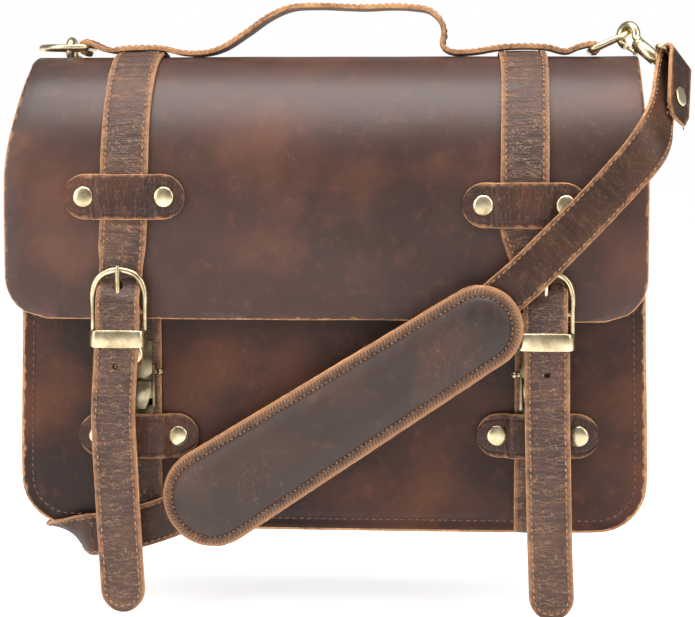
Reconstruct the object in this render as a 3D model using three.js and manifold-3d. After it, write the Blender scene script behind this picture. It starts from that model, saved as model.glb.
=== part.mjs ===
import * as THREE from 'three';
import { mergeVertices } from 'three/addons/utils/BufferGeometryUtils.js';
import Module from 'manifold-3d';

// Flap-over satchel with grip handle, two buckled straps, press clasps and a padded shoulder strap.
// Millimetres, +Z up, front towards -Y, +X to the right when facing the front.

const BAG = { halfLow: 202, halfTop: 196, corner: 30, rim: 246, crown: 298, depth: 100, leather: 3 };
const FLAP = { half: 203.5, hem: 133.5, corner: 25 };
const STRAP = { wide: 30, narrow: 27.4, thick: 3, gap: 0.3 };
const TAB = { length: 77, height: 28.5, thick: 2.2, rivetX: 25.4 };
const RIVET = { cap: 6.3, dome: 2.6, shank: 1.5, hole: 1.85, back: 3.4 };
const HINGE = { y: -15, z: 294.4 };
const HANDLE = { y: 14, wide: 24, thick: 3 };
const GRIP = { x: 20, z: 329 };
const RING = { half: 14.6, bow: 31.6, wire: 1.8 };
const BUCKLE = { y: -70, wire: 1.6, half: 16, bar: 1.3, barZ: 138, keeperLow: 117, keeperHigh: 126 };
const SHOULDER = { wide: 28, thick: 2.6 };
const PAD = { thick: 8, lowX: -71.8, lowZ: 20.8, lowR: 31, highX: 97.6, highZ: 131.7, highR: 25.5 };

const LEFT = { name: 'left', top: -127, bend: -127, buckle: -129.5, panel: -121, tabZ: 209.8, lowTab: -121,
  lowTabZ: 57.5, tailEnd: -51.5, holeZ: 104 };
const RIGHT = { name: 'right', top: 123.5, bend: 126, buckle: 136.5, panel: 133, tabZ: 205, lowTab: 132.6,
  lowTabZ: 60, tailEnd: -53.4, holeZ: 101 };
const SIDES = [LEFT, RIGHT];

const FRONT_SKIN = [[-15.6, 292.4], [-32, 280.5], [-45, 264.5], [-54, 246], [-59, 225], [-61, 200],
  [-61, 165], [-61, FLAP.hem]];
const BACK_SKIN = [[-14.4, 293.1], [-4, 296.6], [8, 298.6], [20, 298.2], [32, 294.2], [41, 286.5],
  [46.5, 275], [48.5, 258], [48.5, 190], [48.5, 100], [48.5, 0]];

const wasm = await Module();
wasm.setup();

const bag = new THREE.Group();
bag.name = 'satchel';

// ---------- solids ----------

function toSolid(geometry) {
  const bare = geometry.clone();
  bare.deleteAttribute('normal');
  bare.deleteAttribute('uv');
  const merged = mergeVertices(bare, 1e-4);
  const index = merged.index.array;
  return new wasm.Manifold(new wasm.Mesh({
    numProp: 3,
    vertProperties: new Float32Array(merged.attributes.position.array),
    triVerts: new Uint32Array(index),
  }));
}

function fromSolid(solid) {
  const mesh = solid.getMesh();
  const geometry = new THREE.BufferGeometry();
  geometry.setAttribute('position', new THREE.BufferAttribute(new Float32Array(mesh.vertProperties), 3));
  geometry.setIndex(new THREE.BufferAttribute(new Uint32Array(mesh.triVerts), 1));
  geometry.computeVertexNormals();
  return geometry;
}

function unite(...geometries) {
  return fromSolid(geometries.map(toSolid).reduce((whole, next) => whole.add(next)));
}

function cut(geometry, ...tools) {
  return fromSolid(tools.map(toSolid).reduce((whole, next) => whole.subtract(next), toSolid(geometry)));
}

function common(a, b) {
  return fromSolid(toSolid(a).intersect(toSolid(b)));
}

function add(name, geometry, colour, metalness = 0, roughness = 0.6) {
  const material = new THREE.MeshStandardMaterial({ color: colour, metalness, roughness });
  material.name = `${name}_finish`;
  const mesh = new THREE.Mesh(geometry, material);
  mesh.name = name;
  bag.add(mesh);
}

const addLeather = (name, geometry) => add(name, geometry, 0x5a3626, 0, 0.55);
const addStrapLeather = (name, geometry) => add(name, geometry, 0x6b4630, 0, 0.6);
const addMetal = (name, geometry) => add(name, geometry, 0xb9a878, 1, 0.35);

// ---------- outlines ----------

function shapeOf(points) {
  return new THREE.Shape(points.map(([x, y]) => new THREE.Vector2(x, y)));
}

function smooth(points, steps) {
  const curve = new THREE.SplineCurve(points.map(([x, y]) => new THREE.Vector2(x, y)));
  return curve.getPoints(steps).map((p) => [p.x, p.y]);
}

// A line moved sideways by a distance; a positive distance lies to the left of its direction.
function offset(line, distance) {
  return line.map(([x, y], i) => {
    const before = line[Math.max(i - 1, 0)];
    const after = line[Math.min(i + 1, line.length - 1)];
    const run = Math.hypot(after[0] - before[0], after[1] - before[1]);
    return [x - (after[1] - before[1]) / run * distance, y + (after[0] - before[0]) / run * distance];
  });
}

function band(line, thickness) {
  return [...offset(line, thickness / 2), ...offset(line, -thickness / 2).reverse()];
}

// A section in the YZ plane swept along X.
function acrossX(section, x0, x1) {
  const geometry = new THREE.ExtrudeGeometry(shapeOf(section), { depth: x1 - x0, bevelEnabled: false });
  const axes = new THREE.Matrix4().makeBasis(new THREE.Vector3(0, 1, 0), new THREE.Vector3(0, 0, 1),
    new THREE.Vector3(1, 0, 0));
  return geometry.applyMatrix4(axes).translate(x0, 0, 0);
}

// A section in the XZ plane swept along Y from back to front.
function acrossY(section, back, front) {
  const geometry = new THREE.ExtrudeGeometry(shapeOf(section), { depth: back - front, bevelEnabled: false });
  const axes = new THREE.Matrix4().makeBasis(new THREE.Vector3(1, 0, 0), new THREE.Vector3(0, 0, 1),
    new THREE.Vector3(0, -1, 0));
  return geometry.applyMatrix4(axes).translate(0, back, 0);
}

function arc(cx, cz, radius, from, to, steps) {
  return Array.from({ length: steps + 1 }, (_, i) => {
    const angle = from + (to - from) * i / steps;
    return [cx + radius * Math.cos(angle), cz + radius * Math.sin(angle)];
  });
}

// The U of the bag's front view, from top left round the bottom to top right.
function bagU(inset, top) {
  const radius = BAG.corner - inset;
  const half = BAG.halfLow - inset;
  return [
    [-(BAG.halfTop - inset), top],
    ...arc(-half + radius, inset + radius, radius, Math.PI, 1.5 * Math.PI, 5),
    ...arc(half - radius, inset + radius, radius, 1.5 * Math.PI, 2 * Math.PI, 5),
    [BAG.halfTop - inset, top],
  ];
}

function box(x0, x1, y0, y1, z0, z1) {
  return new THREE.BoxGeometry(x1 - x0, y1 - y0, z1 - z0)
    .translate((x0 + x1) / 2, (y0 + y1) / 2, (z0 + z1) / 2);
}

// A round bar between two points.
function rod(from, to, radius, sides = 10) {
  const a = new THREE.Vector3(...from);
  const b = new THREE.Vector3(...to);
  const turn = new THREE.Quaternion().setFromUnitVectors(new THREE.Vector3(0, 1, 0), b.clone().sub(a).normalize());
  const middle = a.clone().add(b).multiplyScalar(0.5);
  return new THREE.CylinderGeometry(radius, radius, a.distanceTo(b), sides).applyQuaternion(turn)
    .translate(middle.x, middle.y, middle.z);
}

function wirePath(points, radius, steps) {
  const curve = new THREE.CatmullRomCurve3(points.map((p) => new THREE.Vector3(...p)));
  const round = new THREE.Shape(Array.from({ length: 6 }, (_, i) =>
    new THREE.Vector2(radius * Math.cos(i * Math.PI / 3), radius * Math.sin(i * Math.PI / 3))));
  return new THREE.ExtrudeGeometry(round, { extrudePath: curve, steps, bevelEnabled: false });
}

// A flat strap through stations of [place, direction of its width]; the direction's length scales the width.
function ribbon(stations, width, thickness, steps) {
  const line = new THREE.CatmullRomCurve3(stations.map(([p]) => new THREE.Vector3(...p)), false, 'centripetal');
  const across = new THREE.CatmullRomCurve3(stations.map(([, w]) => new THREE.Vector3(...w)));
  const corners = [];
  for (let i = 0; i <= steps; i += 1) {
    const t = i / steps;
    const place = line.getPoint(t);
    const along = line.getTangent(t);
    const side = across.getPoint(t);
    const scale = side.length();
    side.addScaledVector(along, -side.dot(along)).normalize();
    const face = along.clone().cross(side);
    side.multiplyScalar(scale);
    for (const [u, v] of [[1, 1], [-1, 1], [-1, -1], [1, -1]]) {
      corners.push(place.clone().addScaledVector(side, u * width / 2).addScaledVector(face, v * thickness / 2));
    }
  }
  const index = [0, 3, 2, 0, 2, 1];
  for (let i = 0; i < steps; i += 1) {
    for (let k = 0; k < 4; k += 1) {
      const a = i * 4 + k;
      const b = i * 4 + (k + 1) % 4;
      index.push(a, b, b + 4, a, b + 4, a + 4);
    }
  }
  const last = steps * 4;
  index.push(last, last + 1, last + 2, last, last + 2, last + 3);
  const geometry = new THREE.BufferGeometry().setFromPoints(corners);
  geometry.setIndex(index);
  geometry.computeVertexNormals();
  return geometry;
}

// ---------- rivets ----------

// A domed rivet along Y: cap face at capY, shank back to backY, clinch cap behind it.
function rivet(x, z, capY, backY) {
  const length = backY - capY;
  const profile = [[0, -1.2], [RIVET.back, -1.2], [RIVET.back, 0], [RIVET.shank, 0], [RIVET.shank, length],
    [RIVET.cap, length], [RIVET.cap * 0.86, length + RIVET.dome * 0.6], [0, length + RIVET.dome]];
  const geometry = new THREE.LatheGeometry(profile.map(([r, h]) => new THREE.Vector2(r, h)), 10);
  return geometry.rotateX(Math.PI).translate(x, backY, z);
}

function rivetHole(x, z) {
  return rod([x, -90, z], [x, -40, z], RIVET.hole, 8);
}

// ---------- body ----------

const backLine = smooth(BACK_SKIN, 24);
const frontLine = smooth(FRONT_SKIN, 18);

function backPanel() {
  const skin = acrossX(band(backLine, BAG.leather), -210, 210);
  const outline = [...bagU(0, 250), [200, 310], [-200, 310]];
  return common(skin, acrossY(outline, 60, -30));
}

// The U-shaped side and base strip, its top edges cut to fit under the domed top.
function gusset() {
  const section = [...bagU(0, BAG.crown), ...bagU(BAG.leather, BAG.crown).reverse()];
  const strip = acrossY(section, BAG.depth / 2 - BAG.leather - 0.3, -BAG.depth / 2 + BAG.leather + 0.3);
  const underSkin = BAG.leather / 2 + 0.4;
  const room = [...offset(frontLine, underSkin).reverse(), ...offset(backLine, -underSkin), [47, -10], [-58, -10]];
  return common(strip, acrossX(room, -220, 220));
}

function frontPanel() {
  const holes = SIDES.flatMap((s) => [-1, 1].map((k) => rivetHole(s.lowTab + k * TAB.rivetX, s.lowTabZ)));
  const front = -BAG.depth / 2;
  return cut(acrossY(bagU(0, BAG.rim), front + BAG.leather, front), ...holes);
}

function flapPanel() {
  const skin = acrossX(band(frontLine, BAG.leather), -210, 210);
  const { half, hem, corner } = FLAP;
  const outline = [[-half, 300], ...arc(-half + corner, hem + corner, corner, Math.PI, 1.5 * Math.PI, 6),
    ...arc(half - corner, hem + corner, corner, 1.5 * Math.PI, 2 * Math.PI, 6), [half, 300]];
  const holes = SIDES.flatMap((s) => [-1, 1].map((k) => rivetHole(s.bend + k * TAB.rivetX, s.tabZ)));
  return cut(common(skin, acrossY(outline, 0, -80)), ...holes);
}

addLeather('back_panel', backPanel());
addLeather('gusset', gusset());
addLeather('front_panel', frontPanel());
addLeather('flap_panel', flapPanel());

// ---------- flap straps, tabs and tails ----------

const OVER_SKIN = BAG.leather / 2 + STRAP.gap + STRAP.thick / 2;

// The strap leans sideways from its tab down to its buckle.
function strapX(side, z) {
  const leanFrom = side.tabZ - TAB.height / 2;
  const lean = Math.min(1, Math.max(0, leanFrom - z) / (leanFrom - 153));
  return side.bend + (side.buckle - side.bend) * lean;
}

function flapStrap(side) {
  const onFlap = offset(smooth(FRONT_SKIN, 28), -OVER_SKIN).filter(([, z]) => z > 176);
  const throughBuckle = smooth([onFlap[onFlap.length - 1], [-64.6, 166], [-65.2, 158], [-67.4, 151.5], [-72.6, 146],
    [-75.1, 141.5], [-75.3, 136], [-75, 126], [-75, 116.9]], 18);
  const line = [...onFlap.slice(0, -1), ...throughBuckle];
  const stations = line.map(([y, z]) => {
    const squeeze = z < 170 ? STRAP.narrow / STRAP.wide : 1;
    return [[strapX(side, z), y, z], [squeeze, 0, 0]];
  });
  const strap = ribbon(stations, STRAP.wide, STRAP.thick, 36);
  return cut(strap, box(side.buckle - 2.9, side.buckle + 2.9, -80, -62, 141.5, 160));
}

function backStrap(side) {
  const line = offset(backLine, OVER_SKIN).filter(([y, z]) => z > 60 && (y > 0 || y > HINGE.y + 4.5));
  const half = STRAP.wide / 2;
  return acrossX(band(line, STRAP.thick), side.top - half, side.top + half);
}

// A riveted keeper tab: flat at its ends and raised in the middle over the strap.
function tab(x, z, seatY, lift, half) {
  const rise = half + 1.8;
  const reach = TAB.length / 2;
  const line = [[-reach, 0], [-rise - 2, 0], [-rise, lift], [rise, lift], [rise + 2, 0], [reach, 0]];
  const top = line.map(([u, h]) => [x + u, seatY - h - TAB.thick]);
  const under = line.map(([u, h]) => [x + u, seatY - h]).reverse();
  const plan = new THREE.ExtrudeGeometry(shapeOf([...top, ...under].reverse()),
    { depth: TAB.height, bevelEnabled: false }).translate(0, 0, z - TAB.height / 2);
  const r = TAB.height / 2 - 0.02;
  const outline = [...arc(x + reach - r, z, r, -Math.PI / 2, Math.PI / 2, 8),
    ...arc(x - reach + r, z, r, Math.PI / 2, 1.5 * Math.PI, 8)];
  const holes = [-1, 1].map((k) => rivetHole(x + k * TAB.rivetX, z));
  return cut(common(plan, acrossY(outline, seatY + 5, seatY - 15)), ...holes);
}

function tail(side) {
  const half = STRAP.narrow / 2;
  const x = side.buckle + Math.sign(side.buckle) * 1;
  const outline = [[x - half, 116.2], ...arc(x, side.tailEnd + half, half, Math.PI, 2 * Math.PI, 12),
    [x + half, 116.2]];
  return cut(acrossY(outline, -73.5, -76.5), rod([x, -80, side.holeZ], [x, -70, side.holeZ], 2, 12));
}

const FLAP_FACE = -61 - BAG.leather / 2;
const BODY_FACE = -BAG.depth / 2;

for (const side of SIDES) {
  addStrapLeather(`strap_back_${side.name}`, backStrap(side));
  addStrapLeather(`flap_strap_${side.name}`, flapStrap(side));
  addStrapLeather(`upper_tab_${side.name}`,
    tab(side.bend, side.tabZ, FLAP_FACE - 0.3, STRAP.thick + 0.3, STRAP.wide / 2));
  addStrapLeather(`tail_${side.name}`, tail(side));
  const ends = [[-1, 'outer'], [1, 'inner']].map(([k, word]) => [side === RIGHT ? -k : k, word]);
  for (const [k, word] of ends) {
    addMetal(`upper_rivet_${word}_${side.name}`,
      rivet(side.bend + k * TAB.rivetX, side.tabZ, FLAP_FACE - 0.3 - TAB.thick - 0.3, FLAP_FACE + BAG.leather + 0.9));
    addMetal(`lower_rivet_${word}_${side.name}`,
      rivet(side.lowTab + k * TAB.rivetX, side.lowTabZ, BODY_FACE - 0.3 - TAB.thick - 0.3,
        BODY_FACE + BAG.leather + 0.3));
  }
}

// ---------- panel straps, lower tabs and clasps ----------

const PANEL_STRAP = 2.4;
const CLASP_PLATE = 1.2;

function panelStrap(side) {
  const line = smooth([[-51.5, 150], [-51.5, 80], [-51.6, 14], [-52, 4], [-50.6, -1.4], [-45, -2.2],
    [-20, -2]], 26);
  const half = STRAP.wide / 2;
  return acrossX(band(line, PANEL_STRAP), side.panel - half, side.panel + half);
}

function claspFrame(side) {
  const x = side.panel;
  const back = -53;
  const plate = unite(
    box(x - 10, x + 10, back - CLASP_PLATE, back, side.lowTabZ - 8, 82),
    box(x - 12, x + 12, back - CLASP_PLATE, back, 77, 103),
    box(x - 12, x - 10.6, -59.5, back, 77, 103),
    box(x + 10.6, x + 12, -59.5, back, 77, 103),
    rod([x - 14.5, -57.6, 99], [x + 14.5, -57.6, 99], 1.5),
  );
  return unite(plate, new THREE.SphereGeometry(2.3, 8, 5).translate(x - 15, -57.6, 99),
    new THREE.SphereGeometry(2.3, 8, 5).translate(x + 15, -57.6, 99));
}

function claspLever(side) {
  const x = side.panel;
  const outline = [[x - 10, 93], [x - 10, 88], [x - 6, 75.6], [x + 6, 75.6], [x + 10, 88], [x + 10, 93]];
  return unite(acrossY(outline, -59.6, -60.9), rod([x - 10, -59.4, 92], [x + 10, -59.4, 92], 1.6));
}

function chape(side) {
  const { barZ, y, bar } = BUCKLE;
  const r = bar + 0.3 + 0.8;
  const over = arc(y, barZ, r, Math.PI, 0, 8);
  const line = [[y - r, barZ - 9], ...over, [y + r, barZ - 8], [-63.6, 121], [-63.2, 104]];
  const sheet = acrossX(band(line, 1.6), side.buckle - 13.6, side.buckle + 13.6);
  const rivetX = side.panel + (side === LEFT ? -1 : 0);
  return cut(sheet, box(side.buckle - 2.8, side.buckle + 2.8, y - 6, y + 6, barZ - 5, barZ + 8),
    rivetHole(rivetX, 111));
}

function claspHook(side) {
  const x = side.panel;
  const outline = [[x - 11, 119], [x - 11, 98], [x - 7, 95.5], [x + 7, 95.5], [x + 11, 98], [x + 11, 119]];
  const rivetX = side.panel + (side === LEFT ? -1 : 0);
  return cut(acrossY(outline, -60.9, -62.1), rivetHole(rivetX, 111));
}

for (const side of SIDES) {
  addStrapLeather(`panel_strap_${side.name}`, panelStrap(side));
  addStrapLeather(`lower_tab_${side.name}`,
    tab(side.lowTab, side.lowTabZ, BODY_FACE - 0.3, PANEL_STRAP + CLASP_PLATE + 0.9, STRAP.wide / 2));
  addMetal(`clasp_frame_${side.name}`, claspFrame(side));
  addMetal(`clasp_lever_${side.name}`, claspLever(side));
  addStrapLeather(`chape_${side.name}`, chape(side));
  addMetal(`clasp_hook_${side.name}`, claspHook(side));
  const rivetX = side.panel + (side === LEFT ? -1 : 0);
  addMetal(`clasp_rivet_${side.name}`, rivet(rivetX, 111, -64.4, -60.6));
}

// ---------- buckles ----------

function buckleFrame(side) {
  const { y, wire, half, bar, barZ, keeperLow, keeperHigh } = BUCKLE;
  const bow = [[-half, y, keeperLow + 1.6], [-half, y, 134], [-half, y, 150], [-half + 4.2, y, 159.6],
    [0, y, 163.6], [half - 4.2, y, 159.6], [half, y, 150], [half, y, 134], [half, y, keeperLow + 1.6]];
  const outer = half + wire;
  const inner = half - wire + 0.2;
  return unite(wirePath(bow, wire, 16),
    rod([-half, y, barZ], [half, y, barZ], bar),
    box(-outer, outer, -78.6, -76.9, keeperLow, keeperHigh),
    box(-outer, -inner, -78, y + wire, keeperLow, keeperHigh),
    box(inner, outer, -78, y + wire, keeperLow, keeperHigh)).translate(side.buckle, 0, 0);
}

function buckleTongue(side) {
  const { y, bar, barZ } = BUCKLE;
  const collar = cut(rod([-2.1, y, barZ], [2.1, y, barZ], 3, 10), rod([-4, y, barZ], [4, y, barZ], bar + 0.45, 10));
  const prong = wirePath([[0, y - 1.8, barZ + 1.6], [0, y - 2.2, 148], [0, y - 3.2, 158], [0, y - 3.3, 166]], 1.3, 8);
  return unite(collar, prong).translate(side.buckle, 0, 0);
}

for (const side of SIDES) {
  addMetal(`buckle_frame_${side.name}`, buckleFrame(side));
  addMetal(`buckle_tongue_${side.name}`, buckleTongue(side));
}

// ---------- handle and rings ----------

// Each ring has a straight bar inside the handle's curl and a bow that reaches outwards.
const RING_LEFT = { at: [-163.5, HANDLE.y, 305.6], tilt: 0, reach: -1 };
const RING_RIGHT = { at: [167, HANDLE.y, 305.6], tilt: 24 * Math.PI / 180, reach: 1 };

function ringSpot(place, u, v) {
  return new THREE.Vector3(place.at[0] + place.reach * u * Math.cos(place.tilt), place.at[1] + v,
    place.at[2] + u * Math.sin(place.tilt));
}

function ring(place) {
  const { half, bow, wire } = RING;
  const plan = [[0, -half], [bow * 0.3, -half], [bow * 0.66, -half * 0.86], [bow * 0.92, -half * 0.45], [bow, 0],
    [bow * 0.92, half * 0.45], [bow * 0.66, half * 0.86], [bow * 0.3, half], [0, half]];
  const ends = [-half, half].map((v) => ringSpot(place, 0, v).toArray());
  return unite(wirePath(plan.map(([u, v]) => ringSpot(place, u, v).toArray()), wire, 16),
    rod(ends[0], ends[1], wire, 8),
    ...ends.map((end) => new THREE.SphereGeometry(wire, 8, 6).translate(...end)));
}

function handle() {
  const across = [0, 1, 0];
  const curl = RING.wire + 0.3 + HANDLE.thick / 2;
  const leftEye = ringSpot(RING_LEFT, 0, 0);
  const rightEye = ringSpot(RING_RIGHT, 0, 0);
  const low = 301.8;
  const path = [
    ...arc(leftEye.x, leftEye.z, curl, 1.45 * Math.PI, 0.55 * Math.PI, 8),
    [-156, 306.6], [-148, 304.4], [-141, 305.8], [-127, 306.6], [-113, 305.8], [-102, 302.8], [-86, 302.4],
    [-74, 306], [-58, 316], [-44, 325.5], [-30, 331], [-12, 332], [20, 331.2], [50, 331], [62, 328.6],
    [69, 321], [71, 313], [70, 306], [75, 302.5], [88, 302.3], [108, 305.6], [123, 306.6], [138, 305.7],
    [150, 302.6], [158, 305.6],
    ...arc(rightEye.x, rightEye.z, curl, 0.45 * Math.PI, -0.45 * Math.PI, 8),
  ];
  const kept = path.map(([x, z]) => [[x, HANDLE.y, Math.max(z, low)], across]);
  return ribbon(kept, HANDLE.wide, HANDLE.thick, 66);
}

addStrapLeather('handle', handle());
addMetal('ring_left', ring(RING_LEFT));
addMetal('ring_right', ring(RING_RIGHT));

// ---------- snap hooks ----------

const HOOK = { gape: 6.6, wire: 1.6, barrelFrom: 8.6, barrel: 3.4, swivel: 3.2 };

// A frame whose first axis runs from one place to another and whose third lies near a given direction.
function hookAxes(from, to, wireDirection) {
  const along = to.clone().sub(from).normalize();
  const normal = wireDirection.clone().addScaledVector(along, -wireDirection.dot(along)).normalize();
  const up = normal.clone().cross(along);
  return new THREE.Matrix4().makeBasis(along, up, normal).setPosition(from);
}

function hookBody(length) {
  const bow = arc(0, 0, HOOK.gape, 0.16 * Math.PI, 1.6 * Math.PI, 14).map(([a, b]) => [a, b, 0]);
  const neck = [[HOOK.barrelFrom + 2, 1.6, 0], ...bow];
  return unite(wirePath(neck, HOOK.wire, 14),
    rod([HOOK.barrelFrom, 0, 0], [length - 1, 0, 0], HOOK.barrel, 10),
    new THREE.SphereGeometry(HOOK.swivel + 0.6, 8, 6).translate(length, 0, 0));
}

function hookTrigger() {
  return unite(rod([3.9, -6.4, 0], [12.5, -5.4, 0], 1.1, 8),
    rod([12.5, -5.4, -2.4], [12.5, -5.4, 2.4], 1.3, 10));
}

// The swivel eye: a square loop whose far bar carries the folded strap.
function swivelEye(at, along, across) {
  const a = new THREE.Vector3(...along).normalize();
  const b = new THREE.Vector3(...across).normalize();
  const spot = (u, v) => new THREE.Vector3(...at).addScaledVector(a, u).addScaledVector(b, v).toArray();
  const reach = 16.6;
  const near = 6.2;
  const far = EYE_BAR;
  const bars = [[near, -reach, near, reach], [far, -reach, far, reach], [near, -reach, far, -reach],
    [near, reach, far, reach]];
  return unite(rod(spot(4.3, 0), spot(near, 0), 2, 8),
    ...bars.map(([u0, v0, u1, v1]) => rod(spot(u0, v0), spot(u1, v1), 1.5, 6)),
    ...[near, far].flatMap((u) => [-reach, reach].map((v) =>
      new THREE.SphereGeometry(1.5, 6, 4).translate(...spot(u, v)))));
}

const SWIVEL_RIGHT = new THREE.Vector3(208, HINGE.y, HINGE.z);
const SWIVEL_LEFT = new THREE.Vector3(-176, 58, 279.5);
const GRASP_RIGHT = ringSpot(RING_RIGHT, 27, -8).add(new THREE.Vector3(1, -1, 0.2));
const GRASP_LEFT = ringSpot(RING_LEFT, 15, 14).add(new THREE.Vector3(0, 2.6, 1));
const WIRE_RIGHT = new THREE.Vector3(-0.41, -0.89, -0.18);
const WIRE_LEFT = new THREE.Vector3(-1, 0, 0);
const FOLD_ACROSS = [0, 0.8, -0.6];
const EYE_BAR = 13.4;
const FOLD_RADIUS = 3.9;

for (const [name, grasp, swivel, wireDirection] of [['left', GRASP_LEFT, SWIVEL_LEFT, WIRE_LEFT],
  ['right', GRASP_RIGHT, SWIVEL_RIGHT, WIRE_RIGHT]]) {
  const axes = hookAxes(grasp, swivel, wireDirection);
  addMetal(`hook_${name}`, hookBody(grasp.distanceTo(swivel)).applyMatrix4(axes));
  addMetal(`trigger_${name}`, hookTrigger().applyMatrix4(axes));
}
addMetal('hook_eye_right', swivelEye(SWIVEL_RIGHT.toArray(), [1, 0, 0], FOLD_ACROSS));
addMetal('hook_eye_left', swivelEye(SWIVEL_LEFT.toArray(), [0, 0.35, -0.94], [1, 0, 0]));

// ---------- shoulder strap ----------

function shoulderStrap() {
  const fold = FOLD_ACROSS;
  const front = [0.68, 0, -0.73];
  const padLine = [0.55, 0.05, -0.84];
  const x = SWIVEL_RIGHT.x + EYE_BAR;
  const { y, z } = SWIVEL_RIGHT;
  const overBar = arc(0, 0, FOLD_RADIUS, 0, Math.PI, 6)
    .map(([u, v]) => [[x + u, y + 0.6 * v, z + 0.8 * v], fold]);
  const stations = [
    [[x + 5.6, y - 34, z - 42], fold], [[x + 4.8, y - 19, z - 21], fold], ...overBar,
    [[x - 4.4, y - 16, z - 18], fold],
    [[x - 6.6, y - 34, z - 31], [0.3, 0.62, -0.7]], [[x - 12, y - 48.5, z - 43], [0.58, 0.3, -0.74]],
    [[196, -69, 238], [0.66, 0.06, -0.74]], [[183, -71.5, 222.7], front], [[163, -75, 201], front],
    [[142, -79, 180], front], [[124, -80.6, 162], [0.64, 0, -0.77]], [[106, -80.4, 146], [0.57, 0, -0.82]],
    [[84, -78.4, 125], padLine], [[50, -74.8, 100.5], padLine], [[11, -70.8, 75], padLine],
    [[-30, -66.6, 48], padLine], [[-70, -62.5, 22], padLine], [[-97, -60.4, 8], [0.4, 0, -0.9]],
    [[-118, -60, 0.5], [0.28, 0, -0.96]], [[-135, -60, -3.6], [0.2, 0, -0.98]],
    [[-149.7, -60, -5.6], [0.14, 0, -0.99]],
  ];
  return ribbon(stations, SHOULDER.wide, SHOULDER.thick, 68);
}

function rearStrap() {
  const { x, y, z } = SWIVEL_LEFT;
  const across = [1, 0, 0];
  const bar = [y + EYE_BAR * 0.35, z - EYE_BAR * 0.94];
  const overBar = arc(0, 0, FOLD_RADIUS, Math.PI, 0, 6).map(([u, v]) => [[x, bar[0] + u, bar[1] + v], across]);
  const stations = [
    [[-151, -60, -5.8], [0.14, 0, -0.99]], [[-159, -59.6, -7.6], [0.35, -0.1, -0.93]],
    [[-166.5, -56, -8.4], [0.62, 0.2, -0.75]], [[-171.5, -49, -7.6], [0.85, 0.2, -0.45]],
    [[-174, -38, -6], [0.97, 0.05, -0.2]], [[-174.5, -20, -4.6], across], [[-175, 25, -4.2], across],
    [[-175, 47, -4.4], across], [[-175, 53.8, -1.6], across], [[-175, 55, 8], across],
    [[-175.5, 54, 120], across], [[x, 54, 220], across], [[x, bar[0] - 5, bar[1] - 14], across],
    ...overBar, [[x, bar[0] + 3, bar[1] - 14], across],
    [[x, bar[0] + 2, bar[1] - 34], across],
  ];
  return ribbon(stations, SHOULDER.wide, SHOULDER.thick, 62);
}

function shoulderPad() {
  const dx = PAD.highX - PAD.lowX;
  const dz = PAD.highZ - PAD.lowZ;
  const length = Math.hypot(dx, dz);
  const turn = Math.atan2(dz, dx);
  const spread = Math.asin((PAD.lowR - PAD.highR) / length);
  const outline = [...arc(length, 0, PAD.highR, -Math.PI / 2 + spread, Math.PI / 2 - spread, 12),
    ...arc(0, 0, PAD.lowR, Math.PI / 2 - spread, 1.5 * Math.PI + spread, 14)];
  const bevel = 1.6;
  const plain = new THREE.ExtrudeGeometry(shapeOf(outline), { depth: PAD.thick - bevel * 2, bevelThickness: bevel,
    bevelSize: bevel, bevelOffset: -bevel, bevelSegments: 1 });
  const yaw = Math.atan2(19.2, length);
  return plain.translate(0, 0, bevel).rotateX(Math.PI / 2).rotateZ(-yaw).rotateY(-turn)
    .translate(PAD.lowX, -64.5, PAD.lowZ);
}

// The rivet that closes the strap's fold, along X.
const FOLD_RIVET = { y: SWIVEL_RIGHT.y - 22, z: SWIVEL_RIGHT.z - 26, inner: 214.2, outer: 228.6 };

function foldRivet() {
  const { y, z, inner, outer } = FOLD_RIVET;
  return rivet(0, 0, -outer, -inner).rotateZ(Math.PI / 2).translate(0, y, z);
}

function foldHole() {
  const { y, z, inner, outer } = FOLD_RIVET;
  return rod([inner - 5, y, z], [outer + 5, y, z], RIVET.hole, 8);
}

addStrapLeather('shoulder_strap', cut(shoulderStrap(), foldHole()));
addMetal('strap_rivet', foldRivet());
addStrapLeather('shoulder_pad', shoulderPad());
addStrapLeather('strap_rear', rearStrap());

for (const mesh of bag.children) {
  mesh.geometry = mesh.geometry.clone().translate(-GRIP.x, -HANDLE.y, -GRIP.z);
}

export default bag;
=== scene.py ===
"""Flap-over leather satchel: shell, straps, buckles, clasps, grip handle and padded shoulder strap."""
import logging
import math
from dataclasses import dataclass, field
from enum import Enum
from functools import cache
from typing import Sequence

import bmesh
import bpy
import numpy as np
from mathutils import Matrix, Vector, noise


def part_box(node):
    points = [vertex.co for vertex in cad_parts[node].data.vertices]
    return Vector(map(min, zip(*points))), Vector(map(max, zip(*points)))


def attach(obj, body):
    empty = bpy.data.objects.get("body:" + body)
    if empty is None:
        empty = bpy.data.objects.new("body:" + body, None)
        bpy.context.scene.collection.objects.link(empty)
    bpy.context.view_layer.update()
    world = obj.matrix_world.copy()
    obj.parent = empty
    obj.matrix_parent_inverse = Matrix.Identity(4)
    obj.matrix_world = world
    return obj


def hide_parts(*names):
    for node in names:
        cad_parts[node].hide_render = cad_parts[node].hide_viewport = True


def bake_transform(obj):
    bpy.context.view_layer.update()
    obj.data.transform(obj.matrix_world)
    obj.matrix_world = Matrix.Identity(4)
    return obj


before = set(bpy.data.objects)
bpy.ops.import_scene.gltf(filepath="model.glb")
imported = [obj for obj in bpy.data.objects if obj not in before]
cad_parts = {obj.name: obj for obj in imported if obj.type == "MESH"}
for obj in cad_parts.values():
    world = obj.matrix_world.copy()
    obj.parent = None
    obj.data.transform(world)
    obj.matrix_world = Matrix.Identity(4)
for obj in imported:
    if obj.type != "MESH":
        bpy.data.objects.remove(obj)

LOG = logging.getLogger("satchel")
MM = 0.001
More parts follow.
